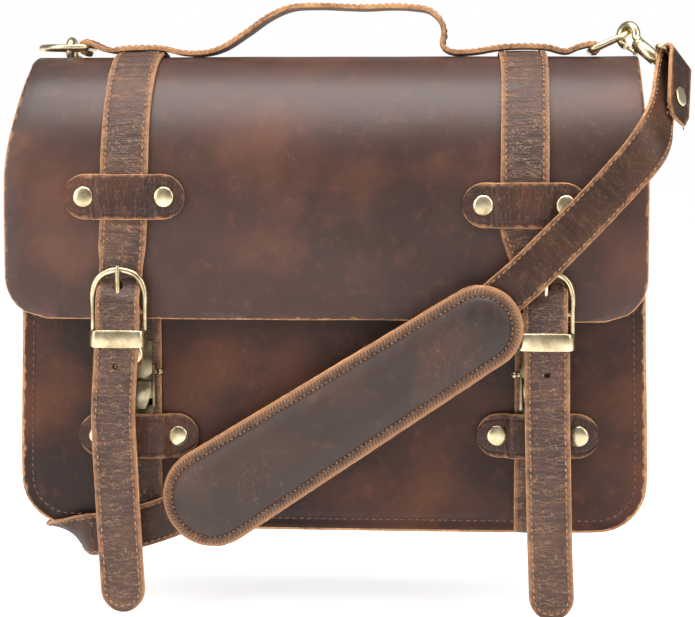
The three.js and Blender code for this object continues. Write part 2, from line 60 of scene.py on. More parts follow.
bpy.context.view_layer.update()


class Side(Enum):
    """The two buckled sides of the bag."""

    LEFT = "left"
    RIGHT = "right"


Point = tuple[float, float, float]


@dataclass(frozen=True)
class Bench:
    """The maker's own axes: millimetres, base at 0, middle of the depth at 0, middle of the width at 0."""

    low: Vector
    high: Vector

    @classmethod
    def from_panel(cls) -> "Bench":
        """The axes taken from the front panel's place."""
        return cls(*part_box("front_panel"))

    def at(self, point: Sequence[float]) -> Vector:
        """A point of the maker's axes in the row frame, in metres.

        Args:
            point: its three numbers, in millimetres.

        Returns:
            The point.
        """
        middle = (self.low.x + self.high.x) / 2
        return Vector((point[0] * MM + middle, point[1] * MM + self.low.y + 50 * MM,
                       point[2] * MM + self.low.z))

    def many(self, points: np.ndarray) -> np.ndarray:
        """Points of the maker's axes in the row frame.

        Args:
            points: an array of rows of three numbers, in millimetres.

        Returns:
            The same rows in metres.
        """
        return np.asarray(points, float) * MM + np.array(self.at((0, 0, 0)))


BENCH = Bench.from_panel()


# ---------------------------------------------------------------- shader groups and finishes


class Wires:
    """Adds and joins nodes in one tree."""

    def __init__(self, tree: bpy.types.NodeTree) -> None:
        """Keeps the tree."""
        self.tree = tree

    def add(self, kind: str, **settings: object) -> bpy.types.Node:
        """Adds a node.

        Args:
            kind: the node's type.
            settings: its properties, or socket values under in_INDEX keys.

        Returns:
            The node.
        """
        node = self.tree.nodes.new(kind)
        for key, value in settings.items():
            if key.startswith("in_"):
                name = key[3:]
                socket = node.inputs[int(name)] if name.isdigit() else node.inputs[name.replace("_", " ")]
                if isinstance(value, bpy.types.NodeSocket):
                    self.tree.links.new(value, socket)
                else:
                    socket.default_value = value
            else:
                setattr(node, key, value)
        return node

    def join(self, a: bpy.types.NodeSocket, b: bpy.types.NodeSocket) -> None:
        """Links two sockets."""
        self.tree.links.new(a, b)

    def maths(self, how: str, a: object, b: object = 0.0) -> bpy.types.NodeSocket:
        """A Math node's result."""
        return self.add("ShaderNodeMath", operation=how, in_0=a, in_1=b).outputs[0]

    def ramp(self, value: bpy.types.NodeSocket, low: float, high: float) -> bpy.types.NodeSocket:
        """The value mapped from low..high to 0..1, clamped."""
        return self.add("ShaderNodeMapRange", in_0=value, in_1=low, in_2=high).outputs[0]

    def mix(self, amount: object, a: object, b: object) -> bpy.types.NodeSocket:
        """A colour mixed from a to b."""
        return self.add("ShaderNodeMix", data_type="RGBA", in_0=amount, in_6=a, in_7=b).outputs[2]

    def relief(self, shader: bpy.types.Node, height: bpy.types.NodeSocket, strength: float,
               depth: float) -> None:
        """Lets a height stand out on a shader's surface, its depth in metres."""
        bump = self.add("ShaderNodeBump", in_Strength=strength, in_Distance=depth, in_Height=height)
        self.join(bump.outputs[0], shader.inputs["Normal"])


def new_group(name: str, takes: dict[str, float | tuple],
              gives: dict[str, str]) -> tuple[bpy.types.NodeTree, Wires]:
    """Starts a shader node group with named sockets.

    Args:
        name: the group's name.
        takes: each input's name and default value, a number, a colour or a vector.
        gives: each output's name and socket type.

    Returns:
        The tree and its helper.
    """
    tree = bpy.data.node_groups.new(name, "ShaderNodeTree")
    for label, value in takes.items():
        if isinstance(value, tuple):
            kind = "NodeSocketColor" if len(value) == 4 else "NodeSocketVector"
        else:
            kind = "NodeSocketFloat"
        socket = tree.interface.new_socket(name=label, in_out="INPUT", socket_type=kind)
        socket.default_value = value
    for label, kind in gives.items():
        tree.interface.new_socket(name=label, in_out="OUTPUT", socket_type=kind)
    return tree, Wires(tree)


@cache
def grain_group() -> bpy.types.NodeTree:
    """Leather grain: fine pebbling, soft creases and thin scratches, as one height.

    Returns:
        The shader group.
    """
    tree, w = new_group(
        "Leather grain",
        {"Place": (0.0, 0.0, 0.0), "Pebble": 900.0, "Crease": 60.0, "Scratch": 40.0},
        {"Height": "NodeSocketFloat", "Scratches": "NodeSocketFloat"},
    )
    entry, leave = w.add("NodeGroupInput"), w.add("NodeGroupOutput")
    pebble = w.add("ShaderNodeTexVoronoi", in_Vector=entry.outputs["Place"], in_Scale=entry.outputs["Pebble"])
    crease = w.add("ShaderNodeTexNoise", in_Vector=entry.outputs["Place"], in_Scale=entry.outputs["Crease"],
                   in_Detail=5.0, in_Roughness=0.6)
    turned = w.add("ShaderNodeMapping", in_Vector=entry.outputs["Place"], in_Rotation=(0.3, 0.5, 0.7),
                   in_Scale=(2.2, 1.0, 1.2))
    scratch = w.add("ShaderNodeTexNoise", in_Vector=turned.outputs[0], in_Scale=entry.outputs["Scratch"],
                    in_Detail=3.0, in_Roughness=0.55)
    line = w.maths("ABSOLUTE", w.maths("SUBTRACT", scratch.outputs[0], 0.5))
    where = w.add("ShaderNodeTexNoise", in_Vector=entry.outputs["Place"], in_Scale=22.0, in_Detail=2.0)
    thin = w.maths("MULTIPLY", w.maths("SUBTRACT", 1.0, w.ramp(line, 0.0, 0.007)),
                   w.ramp(where.outputs[0], 0.5, 0.62))
    height = w.maths("ADD", w.maths("MULTIPLY", pebble.outputs[0], 0.25),
                     w.maths("MULTIPLY", crease.outputs[0], 0.9))
    w.join(w.maths("SUBTRACT", height, w.maths("MULTIPLY", thin, 0.15)), leave.inputs["Height"])
    w.join(thin, leave.inputs["Scratches"])
    return tree


@cache
def pull_up_group() -> bpy.types.NodeTree:
    """Oiled leather's colour: dark ground, warm patches where it has been pulled, pale scuffs.

    Returns:
        The shader group.
    """
    tree, w = new_group(
        "Pull-up colour",
        {"Place": (0.0, 0.0, 0.0), "Dark": (0.0, 0.0, 0.0, 1.0), "Mid": (0.1, 0.1, 0.1, 1.0),
         "Warm": (0.2, 0.1, 0.1, 1.0), "Patch size": 7.0, "Scuffs": 0.3},
        {"Color": "NodeSocketColor", "Mottle": "NodeSocketFloat"},
    )
    entry, leave = w.add("NodeGroupInput"), w.add("NodeGroupOutput")
    cloud = w.add("ShaderNodeTexNoise", in_Vector=entry.outputs["Place"],
                  in_Scale=entry.outputs["Patch size"],
                  in_Detail=6.0, in_Roughness=0.62)
    patch = w.add("ShaderNodeTexNoise", in_Vector=entry.outputs["Place"], in_Scale=14.0, in_Detail=4.0,
                  in_Distortion=0.15)
    fine = w.add("ShaderNodeTexNoise", in_Vector=entry.outputs["Place"], in_Scale=120.0, in_Detail=5.0)
    ground = w.mix(w.ramp(cloud.outputs[0], 0.34, 0.68), entry.outputs["Dark"], entry.outputs["Mid"])
    warm = w.maths("MULTIPLY", w.ramp(patch.outputs[0], 0.50, 0.84), 0.5)
    tinted = w.mix(warm, ground, entry.outputs["Warm"])
    speckle = w.maths("MULTIPLY", w.ramp(fine.outputs[0], 0.56, 0.8), entry.outputs["Scuffs"])
    w.join(w.mix(speckle, tinted, entry.outputs["Warm"]), leave.inputs["Color"])
    w.join(cloud.outputs[0], leave.inputs["Mottle"])
    return tree


@cache
def edge_wear_group() -> bpy.types.NodeTree:
    """How much of the worn tan shows, from the piece's own edge measure broken up by noise.

    Returns:
        The shader group.
    """
    tree, w = new_group("Edge wear", {"Place": (0.0, 0.0, 0.0), "From": 0.75, "To": 1.0, "Amount": 0.7},
                        {"Mask": "NodeSocketFloat"})
    entry, leave = w.add("NodeGroupInput"), w.add("NodeGroupOutput")
    edge = w.add("ShaderNodeAttribute", attribute_name="edge")
    rough = w.add("ShaderNodeTexNoise", in_Vector=entry.outputs["Place"], in_Scale=170.0, in_Detail=4.0)
    worn = w.maths("ADD", edge.outputs["Fac"],
                   w.maths("MULTIPLY", w.maths("SUBTRACT", rough.outputs[0], 0.5), 0.6))
    mask = w.add("ShaderNodeMapRange", in_0=worn, in_1=entry.outputs["From"], in_2=entry.outputs["To"])
    w.join(w.maths("MULTIPLY", mask.outputs[0], entry.outputs["Amount"]), leave.inputs["Mask"])
    return tree


def start_material(name: str) -> tuple[bpy.types.Material, Wires, bpy.types.Node]:
    """A new node material.

    Args:
        name: its name.

    Returns:
        The material, its tree's helper and its Principled BSDF.
    """
    material = bpy.data.materials.new(name)
    material.use_nodes = True
    return material, Wires(material.node_tree), material.node_tree.nodes["Principled BSDF"]


class Finish:
    """A finish whose material is built once and shared."""

    name: str

    def material(self) -> bpy.types.Material:
        """The finish's material.

        Returns:
            The material, built at the first call.
        """
        if self.name not in bpy.data.materials:
            material, w, shader = start_material(self.name)
            self.dress(w, shader, w.add("ShaderNodeTexCoord").outputs["Object"])
            return material
        return bpy.data.materials[self.name]


@dataclass(frozen=True)
class LeatherFinish(Finish):
    """Oiled pull-up leather with tan showing at its worn edges."""

    name: str
    dark: tuple
    mid: tuple
    warm: tuple
    tan: tuple = (0.36, 0.17, 0.075, 1.0)
    patch: float = 7.0
    scuffs: float = 0.25
    wear_from: float = 0.8
    wear_to: float = 1.05
    wear: float = 0.7
    wrinkle: float = 0.0
    vein: tuple = (0.42, 0.24, 0.13, 1.0)
    scratch: float = 0.1
    gloss: float = 0.42
    bump: float = 0.35
    shine: float = 0.45

    def dress(self, w: Wires, shader: bpy.types.Node, place: bpy.types.NodeSocket) -> None:
        """Builds oiled leather: pulled colour, grain, worn edges and, on belting, wrinkles, painted shade in
        their troughs and cracks.

        Args:
            w: the material's tree.
            shader: its Principled BSDF.
            place: the place on the piece.
        """
        colour = w.add("ShaderNodeGroup", node_tree=pull_up_group(), in_Place=place, in_Dark=self.dark,
                       in_Mid=self.mid, in_Warm=self.warm, in_Scuffs=self.scuffs)
        colour.inputs["Patch size"].default_value = self.patch
        wear = w.add("ShaderNodeGroup", node_tree=edge_wear_group(), in_Place=place, in_From=self.wear_from,
                     in_To=self.wear_to, in_Amount=self.wear)
        grain = w.add("ShaderNodeGroup", node_tree=grain_group(), in_Place=place)
        tint = w.mix(wear.outputs[0], colour.outputs["Color"], self.tan)
        scratched = w.mix(w.maths("MULTIPLY", grain.outputs["Scratches"], self.scratch), tint, self.tan)
        height = grain.outputs["Height"]
        if self.wrinkle:
            height, scratched = self.creased(w, height, scratched)
        w.join(scratched, shader.inputs["Base Color"])
        rough = w.maths("ADD", w.maths("MULTIPLY", colour.outputs["Mottle"], 0.22), self.gloss - 0.1)
        w.join(rough, shader.inputs["Roughness"])
        w.relief(shader, height, self.bump, 0.0006)
        shader.inputs["Specular IOR Level"].default_value = self.shine

    def creased(self, w: Wires, height: bpy.types.NodeSocket,
                colour: bpy.types.NodeSocket) -> tuple[bpy.types.NodeSocket, bpy.types.NodeSocket]:
        """Adds folds across a strap, the net of pale cracks between them and painted shade in the folds'
        troughs.

        Args:
            w: the material's tree.
            height: the relief so far.
            colour: the colour so far.

        Returns:
            The new relief and colour.
        """
        flat = w.add("ShaderNodeUVMap", uv_map="UVMap")
        stretched = w.add("ShaderNodeMapping", in_Vector=flat.outputs[0], in_Scale=(35.0, 260.0, 1.0))
        folds = w.add("ShaderNodeTexNoise", in_Vector=stretched.outputs[0], in_Scale=1.0, in_Detail=4.0,
                      in_Roughness=0.65)
        crest = w.ramp(folds.outputs[0], 0.42, 0.72)
        height = w.maths("ADD", height, w.maths("MULTIPLY", crest, self.wrinkle))
        bent = w.add("ShaderNodeMapping", in_Vector=flat.outputs[0], in_Scale=(100.0, 500.0, 1.0))
        drift = w.add("ShaderNodeVectorMath", operation="ADD", in_0=bent.outputs[0])
        shove = w.add("ShaderNodeTexNoise", in_Vector=flat.outputs[0], in_Scale=260.0, in_Detail=3.0)
        push = w.add("ShaderNodeVectorMath", operation="SCALE", in_0=shove.outputs["Color"])
        push.inputs["Scale"].default_value = 1.5
        w.join(push.outputs[0], drift.inputs[1])
        net = w.add("ShaderNodeTexVoronoi", feature="DISTANCE_TO_EDGE", in_Vector=drift.outputs[0],
                    in_Scale=1.0)
        vein = w.maths("SUBTRACT", 1.0, w.ramp(net.outputs["Distance"], 0.0, 0.05))
        gathered = w.maths("MULTIPLY", vein, w.ramp(folds.outputs[0], 0.36, 0.56))
        height = w.maths("ADD", height, w.maths("MULTIPLY", gathered, 0.5 * self.wrinkle))
        colour = w.mix(w.maths("MULTIPLY", gathered, 0.62 * min(1.0, self.wrinkle)), colour, self.vein)
        # painted shade: the folds' troughs are darkened towards the dark ground colour
        trough_shade = w.maths("MULTIPLY", w.ramp(folds.outputs[0], 0.46, 0.30), 0.6 * min(1.0, self.wrinkle))
        colour = w.mix(trough_shade, colour, self.dark)
        lines = w.maths("MULTIPLY", w.ramp(folds.outputs[0], 0.58, 0.76), 0.4 * min(1.0, self.wrinkle))
        colour = w.mix(lines, colour, self.tan)
        return height, colour


@dataclass(frozen=True)
class RawEdgeFinish(Finish):
    """Cut leather edge: orange tan fibres in rough layers."""

    name: str = "raw_edge"
    light: tuple = (0.50, 0.25, 0.105, 1.0)
    deep: tuple = (0.13, 0.052, 0.022, 1.0)

    def dress(self, w: Wires, shader: bpy.types.Node, place: bpy.types.NodeSocket) -> None:
        """Builds the cut edge: loose fibres over blotches of two tans.

        Args:
            w: the material's tree.
            shader: its Principled BSDF.
            place: the place on the piece.
        """
        fibre = w.add("ShaderNodeTexNoise", in_Vector=place, in_Scale=420.0, in_Detail=5.0, in_Roughness=0.7)
        blotch = w.add("ShaderNodeTexNoise", in_Vector=place, in_Scale=60.0, in_Detail=3.0)
        mixed = w.maths("ADD", w.maths("MULTIPLY", fibre.outputs[0], 0.6),
                        w.maths("MULTIPLY", blotch.outputs[0], 0.4))
        w.join(w.mix(w.ramp(mixed, 0.36, 0.62), self.deep, self.light), shader.inputs["Base Color"])
        shader.inputs["Roughness"].default_value = 0.85
        w.relief(shader, fibre.outputs[0], 0.8, 0.0006)


@dataclass(frozen=True)
class ThreadFinish(Finish):
    """Waxed thread with a twist."""

    name: str = "waxed_thread"
    colour: tuple = (0.30, 0.16, 0.08, 1.0)
    shade: tuple = (0.10, 0.05, 0.03, 1.0)

    def dress(self, w: Wires, shader: bpy.types.Node, place: bpy.types.NodeSocket) -> None:
        """Builds the thread: two colours that alternate with its twist.

        Args:
            w: the material's tree.
            shader: its Principled BSDF.
            place: the place on the piece.
        """
        twist = w.add("ShaderNodeTexNoise", in_Vector=place, in_Scale=900.0, in_Detail=2.0)
        w.join(w.mix(w.ramp(twist.outputs[0], 0.35, 0.65), self.shade, self.colour),
               shader.inputs["Base Color"])
        shader.inputs["Roughness"].default_value = 0.7


@dataclass(frozen=True)
class MetalFinish(Finish):
    """Satin antique metal, clouded darker and lighter at random."""

    name: str
    bright: tuple
    dull: tuple
    rough: float = 0.28

    def dress(self, w: Wires, shader: bpy.types.Node, place: bpy.types.NodeSocket) -> None:
        """Builds the metal: clouded polish with fine brushing.

        Args:
            w: the material's tree.
            shader: its Principled BSDF.
            place: the place on the piece.
        """
        cloud = w.add("ShaderNodeTexNoise", in_Vector=place, in_Scale=90.0, in_Detail=5.0)
        brushed = w.add("ShaderNodeMapping", in_Vector=place, in_Scale=(1.0, 1.0, 14.0))
        hair = w.add("ShaderNodeTexNoise", in_Vector=brushed.outputs[0], in_Scale=500.0, in_Detail=2.0)
        w.join(w.mix(w.ramp(cloud.outputs[0], 0.35, 0.65), self.dull, self.bright),
               shader.inputs["Base Color"])
        w.join(w.maths("ADD", w.maths("MULTIPLY", hair.outputs[0], 0.18), self.rough - 0.08),
               shader.inputs["Roughness"])
        shader.inputs["Metallic"].default_value = 1.0
        w.relief(shader, hair.outputs[0], 0.06, 0.0002)


SHELL_LEATHER = LeatherFinish("cover_finish", (0.022, 0.0085, 0.0058, 1), (0.062, 0.023, 0.0145, 1),
                              (0.165, 0.052, 0.022, 1), wear_from=0.965, wear_to=1.03, wear=0.5, gloss=0.43,
                              shine=0.42)
BODY_LEATHER = LeatherFinish("panel_hide", (0.016, 0.0056, 0.0034, 1), (0.045, 0.015, 0.0078, 1),
                             (0.15, 0.046, 0.018, 1), wear_from=0.93, wear_to=1.02, wear=0.7, gloss=0.46,
                             scuffs=0.3, shine=0.25)
TAB_LEATHER = LeatherFinish("tab_hide", (0.016, 0.006, 0.004, 1), (0.050, 0.017, 0.009, 1),
                            (0.15, 0.048, 0.02, 1), patch=30.0, wear_from=0.88, wear_to=1.08, wear=0.75,
                            wrinkle=0.35, gloss=0.42, shine=0.3)
STRAP_LEATHER = LeatherFinish("belting_hide", (0.026, 0.0105, 0.0068, 1), (0.066, 0.028, 0.0165, 1),
                              (0.19, 0.085, 0.042, 1), patch=24.0, wear_from=0.74, wear_to=1.1, wear=0.8,
                              wrinkle=1.1, gloss=0.44, bump=0.7, shine=0.4)
SMOOTH_STRAP = LeatherFinish("shoulder_leather", (0.014, 0.005, 0.0028, 1), (0.040, 0.0155, 0.008, 1),
                             (0.17, 0.066, 0.028, 1), patch=18.0, wear_from=0.78, wear_to=1.1, wear=0.75,
                             wrinkle=0.22, gloss=0.46, shine=0.28, scratch=0.2)
PAD_LEATHER = LeatherFinish("pad_leather", (0.021, 0.01015, 0.00735, 1), (0.0392, 0.0196, 0.0133, 1),
                            (0.14, 0.058, 0.028, 1), patch=12.0, wear_from=0.3, wear_to=0.8, wear=0.62,
                            gloss=0.5,
                            shine=0.35, scratch=0.15)
FLESH = LeatherFinish("flesh_side", (0.085, 0.042, 0.024, 1), (0.13, 0.066, 0.036, 1), (0.17, 0.09, 0.05, 1),
                      wear=0.0, gloss=0.8, bump=0.6)
RAW_EDGE = RawEdgeFinish()
THREAD = ThreadFinish("waxed_thread", (0.40, 0.19, 0.085, 1), (0.13, 0.06, 0.03, 1))
DARK_THREAD = ThreadFinish("dark_thread", (0.17, 0.07, 0.035, 1), (0.035, 0.016, 0.01, 1))
DARK_BRASS = MetalFinish("dark_brass", (0.50, 0.41, 0.26, 1), (0.14, 0.11, 0.065, 1), 0.34)
PALE_THREAD = ThreadFinish("pale_thread", (0.34, 0.165, 0.075, 1), (0.13, 0.06, 0.03, 1))
PAD_THREAD = ThreadFinish("pad_thread", (0.11, 0.05, 0.026, 1), (0.04, 0.018, 0.01, 1))
BRASS = MetalFinish("satin_brass", (0.74, 0.62, 0.40, 1), (0.30, 0.235, 0.13, 1), 0.27)


# ---------------------------------------------------------------- lines and meshes


def ease(t: float | np.ndarray) -> float | np.ndarray:
    """The share t, slow at its start and end."""
    return t * t * (3 - 2 * t)


def crowded(count: int, pull: float) -> np.ndarray:
    """Places from -1 to 1, closer together towards both ends."""
    return np.sin(np.linspace(-1, 1, count) * math.pi / 2 * pull) / math.sin(math.pi / 2 * pull)


def rounded_in(wide: float, corner: float, drop: float) -> float:
    """Half a width where a round corner has taken some of it, drop below the corner's start."""
    return wide if drop <= 0 else wide - corner + math.sqrt(max(corner ** 2 - drop ** 2, 0.0))


def spline(points: Sequence[Sequence[float]], step: float) -> np.ndarray:
    """A smooth line through the points, evenly spaced.

    Args:
        points: places, or places with more numbers that are carried along.
        step: the spacing of the result, measured on the first three numbers.

    Returns:
        An array of rows as wide as the points.
    """
    p = np.asarray(points, float)
    gaps = np.sqrt(np.linalg.norm(np.diff(p[:, :3], axis=0), axis=1)) + 1e-9
    slopes = np.empty_like(p)
    rise = np.diff(p, axis=0) / gaps[:, None]
    slopes[1:-1] = (rise[:-1] * gaps[1:, None] + rise[1:] * gaps[:-1, None]) / (gaps[:-1] + gaps[1:])[:, None]
    slopes[0], slopes[-1] = rise[0], rise[-1]
    dense = []
    for i, gap in enumerate(gaps):
        t = np.linspace(0, 1, 24, endpoint=i == len(gaps) - 1)[:, None]
        a, b = ease(t), t * (1 - t) ** 2
        c = t * t * (t - 1)
        dense.append(p[i] * (1 - a) + p[i + 1] * a + gap * (slopes[i] * b + slopes[i + 1] * c))
    dense = np.concatenate(dense)
    run = np.concatenate([[0.0], np.cumsum(np.linalg.norm(np.diff(dense[:, :3], axis=0), axis=1))])
    count = max(2, int(round(run[-1] / step)) + 1)
    at = np.linspace(0, run[-1], count)
    return np.stack([np.interp(at, run, dense[:, k]) for k in range(p.shape[1])], axis=1)


def run_of(line: np.ndarray) -> np.ndarray:
    """The distance along a line at each of its points."""
    return np.concatenate([[0.0], np.cumsum(np.linalg.norm(np.diff(line, axis=0), axis=1))])


def unit(rows: np.ndarray) -> np.ndarray:
    """Each row made one long."""
    return rows / np.maximum(np.linalg.norm(rows, axis=-1, keepdims=True), 1e-12)


def tangents(line: np.ndarray) -> np.ndarray:
    """The direction of travel at each point."""
    return unit(np.gradient(line, axis=0))


def arc(cu: float, cv: float, radius: float, start: float, end: float,
        steps: int) -> list[tuple[float, float]]:
    """Points on an arc.

    Args:
        cu, cv: its centre.
        radius: its radius.
        start, end: its angles in half turns.
        steps: how many pieces.

    Returns:
        The points.
    """
    turns = np.linspace(start, end, steps + 1) * math.pi
    return [(cu + radius * math.cos(a), cv + radius * math.sin(a)) for a in turns]


def ripple(points: np.ndarray, size: float, seed: float) -> np.ndarray:
    """Soft unevenness between -1 and 1 at each point.

    Args:
        points: places in millimetres.
        size: the size of one swell in millimetres.
        seed: a number that moves the pattern.

    Returns:
        One number a point.
    """
    shift = Vector((seed, seed * 1.7, -seed * 0.6))
    flat = [noise.noise(Vector(p) / size + shift) for p in points.reshape(-1, 3)]
    return np.array(flat).reshape(points.shape[:-1])


@dataclass
class Body:
    """Vertices, faces and the measures that finishes read, gathered before they become one mesh."""

    points: list = field(default_factory=list)
    faces: list = field(default_factory=list)
    slots: list = field(default_factory=list)
    edge: list = field(default_factory=list)
    flat: list = field(default_factory=list)

    def grid(self, points: np.ndarray, edge: np.ndarray, flat: np.ndarray, slot: int, flip: bool = False,
             wrap: tuple[bool, bool] = (False, False)) -> np.ndarray:
        """Adds a net of quads.

        Args:
            points: rows by columns by three, in millimetres.
            edge: the closeness to a worn edge at each point.
            flat: rows by columns by two, the laid-flat place in metres.
            slot: the finish's index.
            flip: whether the faces turn over.
            wrap: whether the rows and the columns close on themselves.

        Returns:
            The vertex numbers, rows by columns.
        """
        n, m = points.shape[:2]
        first = len(self.points)
        numbers = np.arange(first, first + n * m).reshape(n, m)
        self.points.extend(points.reshape(-1, 3).tolist())
        self.edge.extend(np.broadcast_to(edge, (n, m)).reshape(-1).tolist())
        self.flat.extend(np.broadcast_to(flat, (n, m, 2)).reshape(-1, 2).tolist())
        for i in range(n if wrap[0] else n - 1):
            for j in range(m if wrap[1] else m - 1):
                a, b = numbers[i, j], numbers[i, (j + 1) % m]
                c, d = numbers[(i + 1) % n, (j + 1) % m], numbers[(i + 1) % n, j]
                self.faces.append((a, d, c, b) if flip else (a, b, c, d))
                self.slots.append(slot)
        return numbers

    def fan(self, ring: Sequence[int], slot: int, flip: bool = False) -> None:
        """Closes a ring of vertices with triangles from its middle.

        Args:
            ring: the vertex numbers in order.
            slot: the finish's index.
            flip: whether the faces turn over.
        """
        middle = np.mean([self.points[i] for i in ring], axis=0)
        centre = len(self.points)
        self.points.append(middle.tolist())
        self.edge.append(0.0)
        self.flat.append([0.0, 0.0])
        for k, a in enumerate(ring):
            b = ring[(k + 1) % len(ring)]
            self.faces.append((b, a, centre) if flip else (a, b, centre))
            self.slots.append(slot)

    def quad(self, corners: np.ndarray, slot: int) -> None:
        """Adds one four-sided face.

        Args:
            corners: its four corners in order, in millimetres.
            slot: the finish's index.
        """
        first = len(self.points)
        self.points.extend(corners.tolist())
        self.edge.extend([1.0] * 4)
        self.flat.extend([[0.0, 0.0]] * 4)
        self.faces.append((first, first + 1, first + 2, first + 3))
        self.slots.append(slot)

    def loft(self, rings: np.ndarray, flip: bool = False, closed: bool = False) -> None:
        """Adds rings joined in order, capped at both ends unless they close on themselves.

        Args:
            rings: rings by points by three, in millimetres.
            flip: whether the faces turn over.
            closed: whether the last ring meets the first.
        """
        numbers = self.grid(rings, 0.0, np.zeros(rings.shape[:2] + (2,)), 0, flip=flip, wrap=(closed, True))
        if not closed:
            self.fan(list(numbers[0]), 0, flip=True)
            self.fan(list(numbers[-1]), 0)

    def make(self, name: str, finishes: Sequence[bpy.types.Material],
             sharp: float = 38.0) -> bpy.types.Object:
        """Turns the gathered faces into an object in the row frame.

        Args:
            name: the object's name.
            finishes: its materials in slot order.
            sharp: the angle in degrees past which an edge isn't smoothed.

        Returns:
            The object.
        """
        name = f"{name}_finished" if name in bpy.data.objects else name
        mesh = bpy.data.meshes.new(name)
        mesh.from_pydata(BENCH.many(np.array(self.points)).tolist(), [],
                         [tuple(map(int, f)) for f in self.faces])
        for finish in finishes:
            mesh.materials.append(finish)
        mesh.polygons.foreach_set("material_index", self.slots)
        measure = mesh.attributes.new("edge", "FLOAT", "POINT")
        measure.data.foreach_set("value", self.edge)
        layer = mesh.uv_layers.new(name="UVMap")
        corners = np.empty(len(mesh.loops), int)
        mesh.loops.foreach_get("vertex_index", corners)
        layer.data.foreach_set("uv", np.array(self.flat)[corners].reshape(-1))
        piece = bpy.data.objects.new(name, mesh)
        bpy.context.scene.collection.objects.link(piece)
        merge_and_face_out(piece)
        mesh.polygons.foreach_set("use_smooth", [True] * len(mesh.polygons))
        mesh.set_sharp_from_angle(angle=math.radians(sharp))
        return piece


def merge_and_face_out(piece: bpy.types.Object) -> None:
    """Joins touching vertices and turns every face outwards.

    Args:
        piece: the piece.
    """
    work = bmesh.new()
    work.from_mesh(piece.data)
    bmesh.ops.remove_doubles(work, verts=work.verts, dist=2e-6)
    bmesh.ops.dissolve_degenerate(work, edges=work.edges, dist=1e-7)
    bmesh.ops.recalc_face_normals(work, faces=work.faces)
    work.to_mesh(piece.data)
    work.free()


def slab(points: np.ndarray, thick: float, out: np.ndarray, border: float, bevel: float = 0.8) -> Body:
    """A sheet of leather with thickness: face in slot 0, cut edge in slot 1, flesh side in slot 2.

    Args:
        points: the outer face, rows by columns by three, in millimetres.
        thick: the sheet's thickness.
        out: the outward direction at each point.
        border: how far in from the border the worn-edge measure reaches.
        bevel: how much the cut edge is rounded back.

    Returns:
        The gathered sheet.
    """
    body = Body()
    rows = np.stack([run_of(points[:, j]) for j in range(points.shape[1])], axis=1)
    cols = np.stack([run_of(points[i]) for i in range(points.shape[0])], axis=0)
    middle = cols - cols[:, -1:] / 2
    near = np.minimum(np.minimum(rows, rows[-1:] - rows), np.minimum(cols, cols[:, -1:] - cols))
    edge = np.clip(1 - near / border, 0, 1)
    flat = np.stack([middle, rows], axis=2) * MM
    body.grid(points, edge, flat, 0)
    body.grid(points - out * thick, edge, flat, 2, flip=True)

    def ring(net: np.ndarray) -> np.ndarray:
        """The net's border, once round."""
        return np.concatenate([net[0, :], net[1:, -1], net[-1, -2::-1], net[-2:0:-1, 0]])

    around_points = ring(points)
    around_out = ring(out)
    inward = unit(np.gradient(around_points, axis=0))
    side = unit(np.cross(around_out, inward))
    centre = points.reshape(-1, 3).mean(axis=0)
    if np.sum((around_points - centre) * side) < 0:
        side = -side
    levels = [(0.0, 0.0), (0.18, bevel * 0.85), (0.5, bevel), (0.82, bevel * 0.85), (1.0, 0.0)]
    wall = np.stack([around_points - around_out * thick * t + side * b for t, b in levels])
    body.grid(wall, 1.0, np.stack([ring(flat)] * len(levels)), 1, wrap=(False, True))
    return body


SEAM_AT = 0.775
SEAM_PLACES = (0.64, 0.72, 0.775, 0.83, 0.9)


def strap_body(line: np.ndarray, across: np.ndarray, half: np.ndarray, thick: float, crown: float = 0.25,
               columns: int = 11, bevel: float = 0.45) -> Body:
    """A flat strap along a line: face in slot 0, cut edges in slot 1, flesh side in slot 2.

    Args:
        line: places along the middle of the strap.
        across: the direction of its width at each place.
        half: half its width at each place.
        thick: its thickness.
        crown: how much the face stands up in the middle.
        columns: how many points make its face.
        bevel: how much its arrises are rounded.

    Returns:
        The gathered strap.
    """
    body = Body()
    along = tangents(line)
    side = unit(across - along * np.sum(across * along, axis=1, keepdims=True))
    out = np.cross(along, side)
    u = np.concatenate([np.linspace(-1, 1, columns), SEAM_PLACES, -np.array(SEAM_PLACES)])
    u = np.unique(u.round(4))
    columns = len(u)
    sunk = 0.34 * np.exp(-((np.abs(u) - SEAM_AT) / 0.05) ** 2)
    run = run_of(line) * MM
    half = np.broadcast_to(half, len(line)).astype(float)

    def net(values: np.ndarray, heights: np.ndarray) -> np.ndarray:
        """Points of the strap for given places across it."""
        spread = side[:, None] * (half[:, None] * values[None, :])[:, :, None]
        return line[:, None] + spread + out[:, None] * heights[None, :, None]

    inset = 1 - bevel / np.maximum(half.max(), 1.0)
    top = net(u * inset, thick / 2 + crown * (1 - u ** 2) - crown - sunk)
    flat = np.stack(np.broadcast_arrays(u[None, :] * half.max() * MM, run[:, None]), axis=2)
    body.grid(top, np.abs(u)[None, :], flat, 0)
    low = net(u * inset, np.full(columns, -thick / 2))
    body.grid(low[:, ::-1], np.abs(u)[None, :], flat[:, ::-1], 2)
    reach = np.array([inset, 1.0, 1.0, inset])
    arris = np.array([thick / 2 - crown, thick / 2 - crown - bevel, -thick / 2 + bevel, -thick / 2])
    edge_flat = np.stack(np.broadcast_arrays(arris[None, :] * MM, run[:, None]), axis=2)
    sides = [net(sign * reach, arris) for sign in (1, -1)]
    for wall, flip in zip(sides, (False, True)):
        body.grid(wall, 1.0, edge_flat, 1, flip=flip)
    for row, flip in ((0, False), (-1, True)):
        body.grid(np.stack([top[row], low[row]]), 1.0, np.zeros((2, columns, 2)), 1, flip=flip)
        for wall in sides:
            body.quad(wall[row], 1)
    return body


